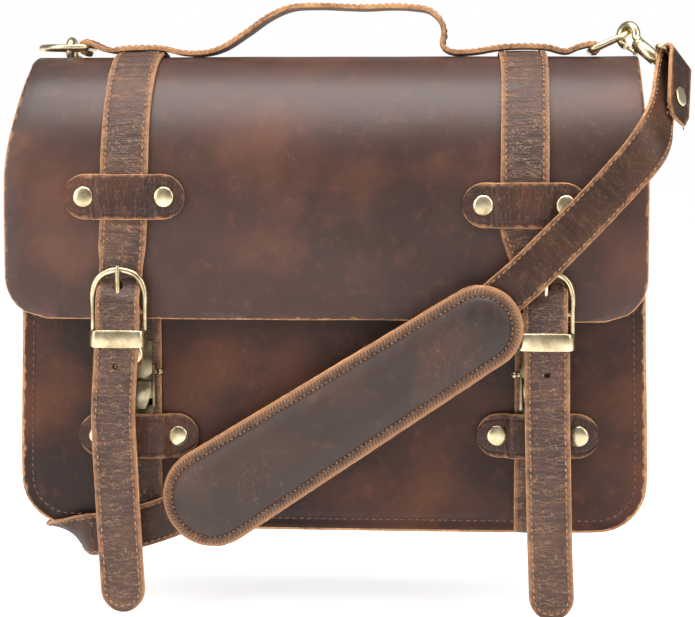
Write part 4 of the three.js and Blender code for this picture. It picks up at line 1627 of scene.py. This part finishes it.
@cache
def stitch_tree() -> bpy.types.NodeTree:
    """Lays short thread stitches along lines at an even pitch.

    Returns:
        The geometry tree.
    """
    tree = tree_with("Stitches along lines", [
        ("Pitch", "NodeSocketFloat", 0.0042), ("Length", "NodeSocketFloat", 0.0031),
        ("Thickness", "NodeSocketFloat", 0.0009), ("Slant", "NodeSocketFloat", 0.12),
        ("Unevenness", "NodeSocketFloat", 0.12), ("Seed", "NodeSocketInt", 3),
        ("Thread", "NodeSocketMaterial", None)])
    w = Wires(tree)
    entry, leave = w.add("NodeGroupInput"), w.add("NodeGroupOutput")
    curve = w.add("GeometryNodeMeshToCurve", in_Mesh=entry.outputs["Geometry"])
    even = w.add("GeometryNodeResampleCurve", mode="LENGTH", in_Curve=curve.outputs[0],
                 in_Length=entry.outputs["Pitch"])
    along = w.add("GeometryNodeInputTangent")
    lie = w.add("FunctionNodeAlignRotationToVector", axis="X", pivot_axis="Z", in_Rotation=faced(w),
                in_Vector=along.outputs[0])
    wobble = w.add("FunctionNodeRandomValue", data_type="FLOAT", in_Seed=entry.outputs["Seed"])
    swing = w.maths("MULTIPLY", w.maths("SUBTRACT", wobble.outputs[1], 0.5), entry.outputs["Unevenness"])
    turn = turned(w, lie.outputs[0], w.maths("ADD", swing, entry.outputs["Slant"]))
    ball = w.add("GeometryNodeMeshUVSphere", in_Segments=6, in_Rings=4, in_Radius=0.5)
    thick = entry.outputs["Thickness"]
    size = w.add("ShaderNodeCombineXYZ", in_0=entry.outputs["Length"], in_1=thick,
                 in_2=w.maths("MULTIPLY", thick, 0.9))
    copies = w.add("GeometryNodeInstanceOnPoints", in_Points=even.outputs[0], in_Instance=ball.outputs[0],
                   in_Rotation=turn, in_Scale=size.outputs[0])
    solid = w.add("GeometryNodeRealizeInstances", in_Geometry=copies.outputs[0])
    smooth = w.add("GeometryNodeSetShadeSmooth", in_Geometry=solid.outputs[0])
    painted = w.add("GeometryNodeSetMaterial", in_Geometry=smooth.outputs[0],
                    in_Material=entry.outputs["Thread"])
    w.join(painted.outputs[0], leave.inputs[0])
    return tree


@dataclass
class StitchRows:
    """Rows of stitches that ride together."""

    name: str
    thread: ThreadFinish
    pitch: float = 4.2
    length: float = 3.1
    thick: float = 0.9
    slant: float = 0.12
    lines: list = field(default_factory=list)

    def row(self, line: np.ndarray, facing: np.ndarray) -> None:
        """Adds a row at its places, and which way it looks."""
        self.lines.append((line, np.broadcast_to(facing, line.shape)))

    def build(self) -> bpy.types.Object:
        """Makes the rows as one plain mesh.

        Returns:
            The mesh's object, not yet riding on anything.
        """
        points, edges, facings = [], [], []
        for line, facing in self.lines:
            first = len(points)
            points += line.tolist()
            facings += facing.tolist()
            edges += [(first + i, first + i + 1) for i in range(len(line) - 1)]
        host = faced_points(self.name, points, edges, facings)
        run_tree(host, stitch_tree(), {"Pitch": self.pitch * MM, "Length": self.length * MM,
                                       "Thickness": self.thick * MM, "Slant": self.slant,
                                       "Thread": self.thread.material(), "Seed": 3})
        return host


def edge_rows(rows: StitchRows, line: np.ndarray, across: np.ndarray, half: float, inset: float,
              height: float) -> None:
    """Adds a row of stitches along each edge of a strap.

    Args:
        rows: where they go.
        line: the strap's middle line.
        across: its width's direction.
        half: half its width.
        inset: how far in from the edge the thread lies.
        height: how far the face stands from the middle line.
    """
    along = tangents(line)
    side = unit(across - along * np.sum(across * along, axis=1, keepdims=True))
    out = np.cross(along, side)
    for sign in (-1, 1):
        rows.row(line + side * sign * (half - inset) + out * height, out)


# ---------------------------------------------------------------- handle, rings and hooks


@dataclass
class RingSeat:
    """Where a D ring's straight bar lies and how it leans."""

    side: Side
    x: float
    z: float
    tilt: float
    reach: float
    y: float = 14.0
    half: float = 14.6
    bow: float = 31.6
    wire: float = 2.1

    def spot(self, u: float, v: float) -> np.ndarray:
        """A place u out from the bar and v across the bag."""
        return np.array([self.x + self.reach * u * math.cos(self.tilt), self.y + v,
                         self.z + u * math.sin(self.tilt)])

    def build(self) -> None:
        """Makes and places the ring."""
        h, b = self.half, self.bow
        plan = [(0, -h * 0.6), (0, -h * 0.9), (b * 0.06, -h), (b * 0.3, -h), (b * 0.66, -h * 0.87),
                (b * 0.92, -h * 0.46), (b, 0), (b * 0.92, h * 0.46), (b * 0.66, h * 0.87), (b * 0.3, h),
                (b * 0.06, h), (0, h * 0.9), (0, h * 0.6), (0, 0), (0, -h * 0.6)]
        line = spline([self.spot(u, v) for u, v in plan], 1.3)[:-1]
        name = f"ring_{self.side.value}"
        metal(tube_body(line, self.wire, 18, closed=True), name, name)


RING_LEFT = RingSeat(Side.LEFT, -163.5, 305.6, 0.0, -1.0)
RING_RIGHT = RingSeat(Side.RIGHT, 166.0, 303.0, math.radians(24), 1.0)


@dataclass
class Handle:
    """The grip strap on the top: curled round a ring at each end and arched in its middle."""

    width: float = 24.0
    thick: float = 3.4
    y: float = 14.0
    low: float = 301.6

    def path(self) -> np.ndarray:
        """Where the handle runs.

        Returns:
            Places along its middle.
        """
        curl = 2.1 + 0.3 + self.thick / 2
        left = arc(RING_LEFT.x, RING_LEFT.z, curl, 1.45, 0.55, 10)
        right = arc(RING_RIGHT.x, RING_RIGHT.z, curl, 0.45, -0.45, 10)
        middle = [(-156, 306.2), (-148, 303.6), (-141, 304.6), (-127, 305.4), (-113, 304.8), (-102, 302.3),
                  (-86, 302.0), (-74, 305.4), (-58, 315.4), (-44, 325), (-30, 331), (-12, 332.2), (8, 331.4),
                  (20, 331.0), (36, 331.6), (50, 331), (62, 328.6), (69, 321.5), (71, 314), (70, 306.2),
                  (75, 302.5), (88, 302.1), (108, 305.0), (123, 305.6), (138, 304.8), (150, 302.2),
                  (158, 305.2)]
        return spline([(x, self.y, max(z, self.low)) for x, z in left + middle + right], 2.2)

    def build(self) -> None:
        """Makes and places the handle."""
        line = self.path()
        line[:, 1] += ripple(line, 50.0, 4.4) * 0.8
        across = np.broadcast_to([0.0, 1.0, 0.0], line.shape).copy()
        across[:, 2] = ripple(line, 60.0, 2.7) * 0.04
        half = self.width / 2 + ripple(line, 30.0, 1.1) * 0.35
        body = strap_body(line, across, half, self.thick, crown=0.4, bevel=0.5)
        leather(body, "handle", "bag", STRAP_LEATHER)


@dataclass
class SnapHook:
    """A swivel snap hook: bow, barrel, sprung trigger and swivel ball."""

    side: Side
    grasp: np.ndarray
    swivel: np.ndarray
    wire_way: tuple[float, float, float]
    gape: float = 6.6
    wire: float = 2.6
    barrel: float = 4.5

    def axes(self) -> np.ndarray:
        """Rows: along the hook, up and across the wire's plane.

        Returns:
            The hook's own axes.
        """
        along = unit(self.swivel - self.grasp)
        way = np.array(self.wire_way, float)
        normal = unit(way - along * np.dot(way, along))
        return np.stack([along, np.cross(normal, along), normal])

    def at(self, u: float, v: float, w: float) -> np.ndarray:
        """A place in the hook's own axes."""
        return self.grasp + np.array([u, v, w]) @ self.axes()

    def build(self) -> None:
        """Makes and places the hook and its trigger."""
        length = float(np.linalg.norm(self.swivel - self.grasp))
        bow = [(10.6, 1.6)] + arc(0, 0, self.gape, 0.16, 1.6, 20)
        line = spline([self.at(u, v, 0) for u, v in bow], 0.9)
        run = run_of(line) / run_of(line)[-1]
        body = tube_body(line, self.wire * (1.15 - 0.3 * np.abs(run - 0.45)), 18)
        along = self.axes()[0]
        b = self.barrel
        turned = [(0.4, 8.2), (b * 0.8, 8.3), (b, 9.2), (b, 12.0), (b * 0.82, 12.6), (b * 0.82, 13.4),
                  (b, 14.0),
                  (b, length - 4.4), (b * 0.7, length - 3.2), (b * 0.62, length - 2.6), (3.3, length - 1.4),
                  (3.75, length), (3.3, length + 1.6), (2.2, length + 2.9), (0.4, length + 3.5)]
        turned = [(r, h) for r, h in turned if h <= length + 4]
        lathe_body(turned, self.grasp, along, 28, body=body)
        name = self.side.value
        metal(body, f"hook_{name}", "bag")
        lever = tube_body(spline([self.at(3.9, -6.4, 0), self.at(8, -5.9, 0), self.at(12.5, -5.4, 0)], 1.0),
                          1.15, 14)
        thumb = np.array([self.at(12.5, -5.4, -2.4), self.at(12.5, -5.4, 0), self.at(12.5, -5.4, 2.4)])
        tube_body(thumb, 1.35, 14, body=lever)
        metal(lever, f"trigger_{name}", f"trigger_{name}")


@dataclass
class SwivelEye:
    """The square loop at a hook's swivel that carries the folded strap."""

    side: Side
    at: tuple[float, float, float]
    along: tuple[float, float, float]
    across: tuple[float, float, float]
    rides: str
    reach: float = 16.6
    near: float = 6.4
    far: float = 13.4

    def build(self) -> None:
        """Makes and places the loop."""
        a, b = unit(np.array(self.along, float)), unit(np.array(self.across, float))

        def spot(u: float, v: float) -> np.ndarray:
            """A place u out from the swivel and v across."""
            return np.array(self.at) + a * u + b * v

        r, n, f = self.reach, self.near, self.far
        plan = [(n, 0), (n, r * 0.8), (n + 0.6, r * 0.97), (n + 2.4, r), (f - 2.4, r), (f - 0.6, r * 0.97),
                (f, r * 0.86), (f, 0)]
        plan += [(u, -v) for u, v in reversed(plan[1:-1])]
        line = spline([spot(u, v) for u, v in plan + plan[:1]], 1.1)[:-1]
        body = tube_body(line, 1.55, 16, closed=True)
        lathe_body([(0.3, 3.9), (2.2, 4.0), (2.2, 6.2), (0.3, 6.6)], self.at, a, 20, body=body)
        metal(body, f"hook_eye_{self.side.value}", self.rides)


# ---------------------------------------------------------------- shoulder strap and pad


FOLD = (0.5, 0.66, -0.56)
FOLD_OUT = (0.8, -0.6, 0.0)
FOLD_UP = (0.336, 0.448, 0.828)
FRONT_LEAN = (0.68, 0.0, -0.73)
PAD_LEAN = (0.55, 0.05, -0.84)
SWIVEL_RIGHT = (208.0, -15.0, 294.4)
SWIVEL_LEFT = (-176.0, 58.0, 279.5)
EYE_BAR = 11.4
REAR_EYE_BAR = 13.4
FOLD_RADIUS = 4.0


@dataclass
class ShoulderStrap:
    """The long strap: its folded end at the right hook, across the front and under the left corner."""

    wide: float = 26.6
    thick: float = 2.6

    def front_stations(self) -> list[tuple[float, ...]]:
        """Place and width direction of the front run, from its folded end.

        Returns:
            Rows of three numbers each.
        """
        x, y, z = (s + EYE_BAR * o for s, o in zip(SWIVEL_RIGHT, FOLD_OUT))
        over = [(*(c + u * o + v * t for c, o, t in zip((x, y, z), FOLD_OUT, FOLD_UP)), *FOLD)
                for u, v in arc(0, 0, FOLD_RADIUS, 0, 1, 8)]
        return [
            (x + 0.5, y - 20, z - 37, 0.5, 0.66, -0.56), (x + 1.8, y - 11, z - 20, 0.5, 0.66, -0.56), *over,
            (x - 6.4, y - 9, z - 14, 0.5, 0.62, -0.58),
            (x - 9.4, y - 26, z - 30, 0.5, 0.5, -0.7), (x - 13.5, y - 40, z - 43, 0.6, 0.28, -0.74),
            (196, -69, 238, 0.66, 0.06, -0.74), (183, -71.5, 222.7, *FRONT_LEAN),
            (163, -75, 201, *FRONT_LEAN),
            (142, -79, 180, *FRONT_LEAN), (124, -80.6, 162, 0.64, 0, -0.77),
            (106, -80.4, 146, 0.57, 0, -0.82),
            (84, -78.4, 125, *PAD_LEAN), (50, -74.8, 100.5, *PAD_LEAN), (11, -70.8, 75, *PAD_LEAN),
            (-30, -66.6, 48, *PAD_LEAN), (-70, -62.5, 22, *PAD_LEAN), (-97, -60.4, 8, 0.4, 0, -0.9),
            (-118, -60, 0.5, 0.28, 0, -0.96), (-135, -60, -3.6, 0.2, 0, -0.98),
            (-149.7, -60, -5.6, 0.14, 0, -0.99),
        ]

    def rear_stations(self) -> list[tuple[float, ...]]:
        """Place and width direction of the rear run, up the back to the left hook.

        Returns:
            Rows of three numbers each.
        """
        x, y, z = SWIVEL_LEFT
        wide = (1.0, 0.0, 0.0)
        bar_y, bar_z = y + REAR_EYE_BAR * 0.35, z - REAR_EYE_BAR * 0.94
        over = [(x, bar_y + u, bar_z + v, *wide) for u, v in arc(0, 0, FOLD_RADIUS, 1, 0, 8)]
        return [
            (-150, -60, -5.65, 0.14, 0, -0.99), (-153, -59.4, -6.0, 0.13, 0.1, -0.98),
            (-160, -54, -6.6, 0.1, 0.5, -0.86), (-167, -47.5, -5.6, 0.25, 0.86, -0.42),
            (-171.5, -38, -5.0, 0.6, 0.8, -0.12), (-173, -26, -4.6, 0.93, 0.36, 0.0),
            (-173.5, -12, -4.4, *wide), (-174.5, 25, -4.2, *wide),
            (-175, 47, -4.4, *wide), (-175, 53.8, -1.6, *wide), (-175, 55, 8, *wide),
            (-175.5, 54, 120, *wide),
            (x, 54, 220, *wide), (x, bar_y - 5, bar_z - 14, *wide), *over, (x, bar_y + 3, bar_z - 14, *wide),
            (x, bar_y + 2, bar_z - 34, *wide),
        ]

    def run(self, name: str, stations: list[tuple[float, ...]], rides: str) -> tuple[np.ndarray, np.ndarray]:
        """Makes one run of the strap.

        Args:
            name: the piece's name and its node's.
            stations: its places and width directions.
            rides: the moving body's name.

        Returns:
            Its middle line and its width directions.
        """
        path = spline(stations, 2.5)
        line, across = path[:, :3], path[:, 3:]
        half = self.wide / 2 + ripple(line, 40.0, 7.7) * 0.3
        if rides == "strap":
            half *= 1 - 0.36 * np.clip(1 - run_of(line) / 8.0, 0, 1)
        body = strap_body(line, across, half, self.thick, crown=0.2, bevel=0.35)
        face, cut_edge = SMOOTH_STRAP.material(), RAW_EDGE.material()
        place(body.make(name, [face, cut_edge, face]), rides, "strap_leather", name)
        return line, across


@dataclass
class ShoulderPad:
    """The padded sleeve: a filled middle stitched inside a flat layered border."""

    low: tuple[float, float] = (-71.8, 20.8)
    low_radius: float = 31.0
    high: tuple[float, float] = (97.6, 131.7)
    high_radius: float = 25.5
    inner: float = -64.5
    border: float = 5.2
    shelf: float = 4.6
    crown: float = 4.2

    def frame_axes(self) -> tuple[np.ndarray, float, float]:
        """How the pad lies.

        Returns:
            Its own axes as columns, the distance between its round ends' middles, and the angle at which its
            sides meet them.
        """
        span = math.hypot(self.high[0] - self.low[0], self.high[1] - self.low[1])
        turn = math.atan2(self.high[1] - self.low[1], self.high[0] - self.low[0])
        yaw = math.atan2(19.2, span)
        along = np.array([math.cos(yaw), -math.sin(yaw), 0.0])
        out = np.array([-math.sin(yaw), -math.cos(yaw), 0.0])
        about = np.array(Matrix.Rotation(-turn, 3, "Y"))
        axes = np.stack([about @ along, about @ np.array([0, 0, 1.0]), about @ out], axis=1)
        return axes, span, math.asin((self.low_radius - self.high_radius) / span)

    def outline(self, inset: float) -> np.ndarray:
        """The outline in the pad's own plane.

        Args:
            inset: how far inside the cut edge it runs.

        Returns:
            260 places at an even spacing.
        """
        _, span, spread = self.frame_axes()
        half = 0.5 - spread / math.pi
        points = arc(span, 0, self.high_radius - inset, -half, half, 30)
        points += arc(0, 0, self.low_radius - inset, half, 2 - half, 34)
        ring = np.array([(u, v, 0.0) for u, v in points + points[:1]])
        run = run_of(ring)
        at = np.linspace(0, run[-1], 261)[:-1]
        return np.stack([np.interp(at, run, ring[:, k]) for k in range(3)], axis=1)

    def place_in(self, local: np.ndarray) -> np.ndarray:
        """Points of the pad's own plane and height in the maker's axes."""
        axes, _, _ = self.frame_axes()
        return local @ axes.T + np.array([self.low[0], self.inner, self.low[1]])

    def height_at(self, inset: float) -> float:
        """How far the face stands out.

        Args:
            inset: the distance in from the cut edge.

        Returns:
            The height over the pad's underside.
        """
        if inset <= self.border:
            return self.shelf
        groove = -0.9 * math.exp(-((inset - self.border - 0.6) / 0.8) ** 2)
        rise = min(1.0, (inset - self.border) / 13.0)
        return self.shelf + self.crown * math.sin(rise * math.pi / 2) ** 0.9 + groove

    def build(self) -> None:
        """Makes and places the pad."""
        body = Body()
        deepest = self.high_radius - 0.6
        insets = [0.0, 0.35, 0.9, 2.0, 3.4, 4.6, 5.2, 5.7, 6.2, 7.0, 8.2, 9.8, 12.0, 14.5, 17.2, 20.0, 22.6,
                  deepest]
        levels = []
        for k, inset in enumerate(insets):
            ring = self.outline(inset)
            height = self.height_at(inset) - (0.55 if k == 0 else 0.12 if k == 1 else 0.0)
            ring[:, 2] = height
            wave = ripple(ring, 34.0, 2.2) * 0.9 * np.clip((inset - 7) / 8, 0, 1)
            pucker = ripple(ring, 7.0, 5.0) * 0.35 * math.exp(-((inset - 7) / 3.0) ** 2)
            ring[:, 2] += wave + pucker
            levels.append(ring)
        net = np.array(levels)
        shape = self.place_in(net)
        edge = np.clip(1 - np.array(insets) / 7.5, 0, 1)[:, None]
        flat = net[:, :, :2] * MM
        self.close_tip(body, body.grid(shape, edge, flat, 0, wrap=(False, True))[-1], 0)
        layers = [(self.shelf - 0.55, 0.0), (self.shelf - 1.0, -0.3), (self.shelf - 1.5, 0.2),
                  (self.shelf - 1.9, -0.5), (self.shelf - 2.9, -0.5), (self.shelf - 3.3, 0.1), (0.9, -0.8),
                  (0.1, -0.5)]
        wall = []
        for height, inset in layers:
            ring = self.outline(inset)
            ring[:, 2] = height
            ring[:, :2] += (ripple(ring, 5.0, 8.8) * 0.25)[:, None]
            wall.append(ring)
        wall = self.place_in(np.array(wall))
        body.grid(wall, 1.0, np.zeros(wall.shape[:2] + (2,)), 1, wrap=(False, True))
        under = []
        for inset in (-0.5, 4.0, 12.0, 20.0, deepest):
            ring = self.outline(inset)
            ring[:, 2] = 0.1 + min(max(inset, 0.0) / 12, 1) * 0.3
            under.append(ring)
        under = np.array(under)
        back = body.grid(self.place_in(under), 0.2, under[:, :, :2] * MM, 2, wrap=(False, True))
        self.close_tip(body, back[-1], 2)
        piece = body.make("shoulder_pad", leather_set(PAD_LEATHER), sharp=55.0)
        place(piece, "strap", "strap_leather", "shoulder_pad")

    def close_tip(self, body: Body, tip: np.ndarray, slot: int) -> None:
        """Closes the innermost outline with faces that run across it.

        Args:
            body: what to add to.
            tip: the outline's vertex numbers.
            slot: the finish's index.
        """
        for k in range(len(tip) // 2 - 1):
            body.faces.append(tuple(map(int, (tip[k], tip[k + 1], tip[-k - 2], tip[-k - 1]))))
            body.slots.append(slot)

    def stitch_lines(self) -> list[tuple[np.ndarray, np.ndarray]]:
        """The overcast row on the border and the row in the groove.

        Returns:
            Each row's places and the way it looks.
        """
        axes, _, _ = self.frame_axes()
        rows = []
        for inset, lift in ((2.6, 0.25), (self.border + 0.5, -0.35)):
            ring = self.outline(inset)
            ring[:, 2] = self.shelf + lift
            ring = np.concatenate([ring, ring[:1]])
            rows.append((self.place_in(ring), np.broadcast_to(axes[:, 2], ring.shape)))
        return rows


# ---------------------------------------------------------------- studio


@dataclass
class Studio:
    """A pale floor, soft lamps and the camera."""

    focal: float = 103.4
    spot: tuple[float, float, float] = (111.0, -1300.0, 248.2)
    yaw: float = 0.0786
    pitch: float = 0.0866
    floor_height: float = -56.0
    floor_half: float = 9000.0
    surround: float = 0.36

    def camera(self) -> None:
        """Sets the camera."""
        data = bpy.data.cameras.new("camera")
        data.lens, data.sensor_width, data.clip_end = self.focal, 36.0, 50.0
        camera = bpy.data.objects.new("camera", data)
        bpy.context.scene.collection.objects.link(camera)
        way = Vector((-math.sin(self.yaw) * math.cos(self.pitch), math.cos(self.yaw) * math.cos(self.pitch),
                      -math.sin(self.pitch)))
        camera.location = BENCH.at(self.spot)
        camera.rotation_euler = way.to_track_quat("-Z", "Y").to_euler()
        bpy.context.scene.camera = camera

    def lamp(self, name: str, spot: Point, target: Point, width: float, height: float, power: float) -> None:
        """Adds a soft lamp.

        Args:
            name: its name.
            spot: where it stands in the maker's axes.
            target: where it points.
            width, height: its size in metres.
            power: its power in watts.
        """
        data = bpy.data.lights.new(name, "AREA")
        data.shape, data.size, data.size_y = "RECTANGLE", width, height
        data.energy = power
        lamp = bpy.data.objects.new(name, data)
        bpy.context.scene.collection.objects.link(lamp)
        lamp.location = BENCH.at(spot)
        lamp.rotation_euler = (BENCH.at(target) - lamp.location).to_track_quat("-Z", "Y").to_euler()

    def floor(self) -> None:
        """Adds the pale floor."""
        half = self.floor_half
        net = np.array([[(x, y, self.floor_height) for x in (-half, half)] for y in (half, -half)])
        body = Body()
        body.grid(net, 0.0, np.zeros((2, 2, 2)), 0)
        material, w, shader = start_material("pale_floor")
        place_in = w.add("ShaderNodeTexCoord").outputs["Object"]
        cloud = w.add("ShaderNodeTexNoise", in_Vector=place_in, in_Scale=3.0)
        w.join(w.mix(cloud.outputs[0], (0.9, 0.9, 0.9, 1), (0.93, 0.93, 0.93, 1)),
               shader.inputs["Base Color"])
        shader.inputs["Roughness"].default_value = 0.9
        shader.inputs["Emission Color"].default_value = (1.0, 1.0, 1.0, 1.0)
        shader.inputs["Emission Strength"].default_value = 0.67
        body.make("floor", [material])

    def world(self) -> None:
        """Sets an even white surround."""
        world = bpy.data.worlds.new("surround")
        world.use_nodes = True
        w = Wires(world.node_tree)
        seen = w.add("ShaderNodeLightPath").outputs["Is Camera Ray"]
        sky = world.node_tree.nodes["Background"]
        sky.inputs["Color"].default_value = (1.0, 1.0, 1.0, 1.0)
        w.join(w.maths("ADD", self.surround, w.maths("MULTIPLY", seen, 1.0 - self.surround)),
               sky.inputs["Strength"])
        bpy.context.scene.world = world

    def build(self) -> None:
        """Sets up the whole studio."""
        self.camera()
        self.floor()
        self.world()
        self.lamp("top_lamp", (0, -350, 1500), (0, 0, 200), 1.6, 0.9, 36)
        self.lamp("left_lamp", (-1400, -1100, 700), (0, 0, 150), 0.9, 1.4, 20)
        self.lamp("right_lamp", (1300, -900, 800), (0, 0, 150), 0.8, 1.2, 12)
        scene = bpy.context.scene
        scene.view_settings.view_transform = "Standard"
        scene.view_settings.look = "None"


# ---------------------------------------------------------------- the whole bag


RIVET_REACH = 25.4
STRAP_RIVET = ((220.0, -34.8, 272.3), (0.84, -0.48, 0.19))


def rivets() -> None:
    """Places every rivet cap, one field a body."""
    on_flap, on_bag = StudField("rivets_flap", "flap"), StudField("rivets_bag", "bag")
    for at in SIDES:
        for reach in (-RIVET_REACH, RIVET_REACH):
            word = "inner" if (reach > 0) == (at.side is Side.LEFT) else "outer"
            on_flap.add(f"upper_rivet_{word}_{at.name}", (at.bend + reach, -65.3, at.tab_z))
            on_bag.add(f"lower_rivet_{word}_{at.name}", (at.low_tab + reach, -52.8, at.low_tab_z))
        on_flap.add(f"clasp_rivet_{at.name}", (at.clasp_rivet, -64.55, 111))
    on_strap = StudField("rivet_strap", "strap")
    on_strap.add("strap_rivet", *STRAP_RIVET)
    for rivet_field in (on_flap, on_bag, on_strap):
        rivet_field.build()


def stitches(front: tuple[np.ndarray, np.ndarray], rear: tuple[np.ndarray, np.ndarray], pad: ShoulderPad,
             handle: Handle, straps: list[FlapStrap], shell: Shell) -> None:
    """Sews every seam.

    Args:
        front, rear: the shoulder strap's runs, each its middle line and its width directions.
        pad: the shoulder pad.
        handle: the grip.
        straps: the two flap straps.
        shell: the bag's shell.
    """
    over = StitchRows("stitches_flap_straps", THREAD, thick=1.15)
    for strap in straps:
        edge_rows(over, strap.path()[:-2, :3], np.array([1.0, 0, 0]), 15.0, 3.4, 1.4)
    place_over_hinge(over.build(), "strap_leather")
    for at in SIDES:
        rows = StitchRows(f"stitches_tail_{at.name}", THREAD, thick=1.15)
        rows.row(Tail(at).seam(), np.array([0, -1.0, 0]))
        place(rows.build(), f"tail_{at.name}", "strap_leather")
    on_bag = StitchRows("stitches_bag", THREAD)
    line = handle.path()[4:-4]
    edge_rows(on_bag, line, np.array([0, 1.0, 0]), 12.0, 3.0, handle.thick / 2 - 0.15)
    outline = shell.outline(6.0, shell.rim - 6, 2.0)
    seam = np.stack([outline[:, 0], np.full(len(outline), -50.1), outline[:, 1]], axis=1)
    sewn = StitchRows("stitches_front_seam", DARK_THREAD, pitch=4.6, length=3.7, thick=1.2)
    sewn.row(seam, np.array([0, -1.0, 0]))
    place(sewn.build(), "bag", "body_leather")
    edge_rows(on_bag, *rear, 14.0, 3.0, 1.3)
    place(on_bag.build(), "bag", "strap_leather")
    on_strap = StitchRows("stitches_strap", PALE_THREAD)
    edge_rows(on_strap, *front, 14.0, 3.0, 1.3)
    place(on_strap.build(), "strap", "strap_leather")
    whip = StitchRows("stitches_pad", PAD_THREAD, pitch=2.3, length=3.4, thick=0.8, slant=1.15)
    groove = StitchRows("stitches_pad_groove", THREAD, pitch=3.2, length=2.4, thick=0.9)
    for rows, seam_line in zip((whip, groove), pad.stitch_lines()):
        rows.row(*seam_line)
        place(rows.build(), "strap", "strap_leather")


def main() -> None:
    """Builds the satchel piece by piece."""
    logging.basicConfig(level=logging.INFO, format="%(name)s: %(message)s")
    Studio().build()
    shell = Shell()
    shell.build()
    straps = [FlapStrap(at) for at in SIDES]
    for at, strap in zip(SIDES, straps):
        strap.build()
        KeeperTab(f"upper_tab_{at.name}", at.bend, at.tab_z, -62.8, 3.6, "flap").build()
        KeeperTab(f"lower_tab_{at.name}", at.low_tab, at.low_tab_z, -50.3, 4.6, "bag").build()
        Tail(at).build()
        PanelStrap(at).build()
        Chape(at).build()
        Buckle(at).build()
        Clasp(at).build()
    rivets()
    handle = Handle()
    handle.build()
    RING_LEFT.build()
    RING_RIGHT.build()
    right_grasp = RING_RIGHT.spot(26, -9) + np.array([-0.4, -1, -1.8])
    left_grasp = RING_LEFT.spot(15, 14) + np.array([0, 2.2, -1.2])
    SnapHook(Side.RIGHT, right_grasp, np.array(SWIVEL_RIGHT), (-0.41, -0.89, -0.18)).build()
    SnapHook(Side.LEFT, left_grasp, np.array(SWIVEL_LEFT), (-1, 0, 0)).build()
    SwivelEye(Side.RIGHT, SWIVEL_RIGHT, FOLD_OUT, FOLD, "strap", far=EYE_BAR).build()
    SwivelEye(Side.LEFT, SWIVEL_LEFT, (0, 0.35, -0.94), (1, 0, 0), "bag").build()
    strap = ShoulderStrap()
    front = strap.run("shoulder_strap", strap.front_stations(), "strap")
    rear = strap.run("strap_rear", strap.rear_stations(), "bag")
    pad = ShoulderPad()
    pad.build()
    stitches(front, rear, pad, handle, straps, shell)


if __name__ == "__main__":
    main()
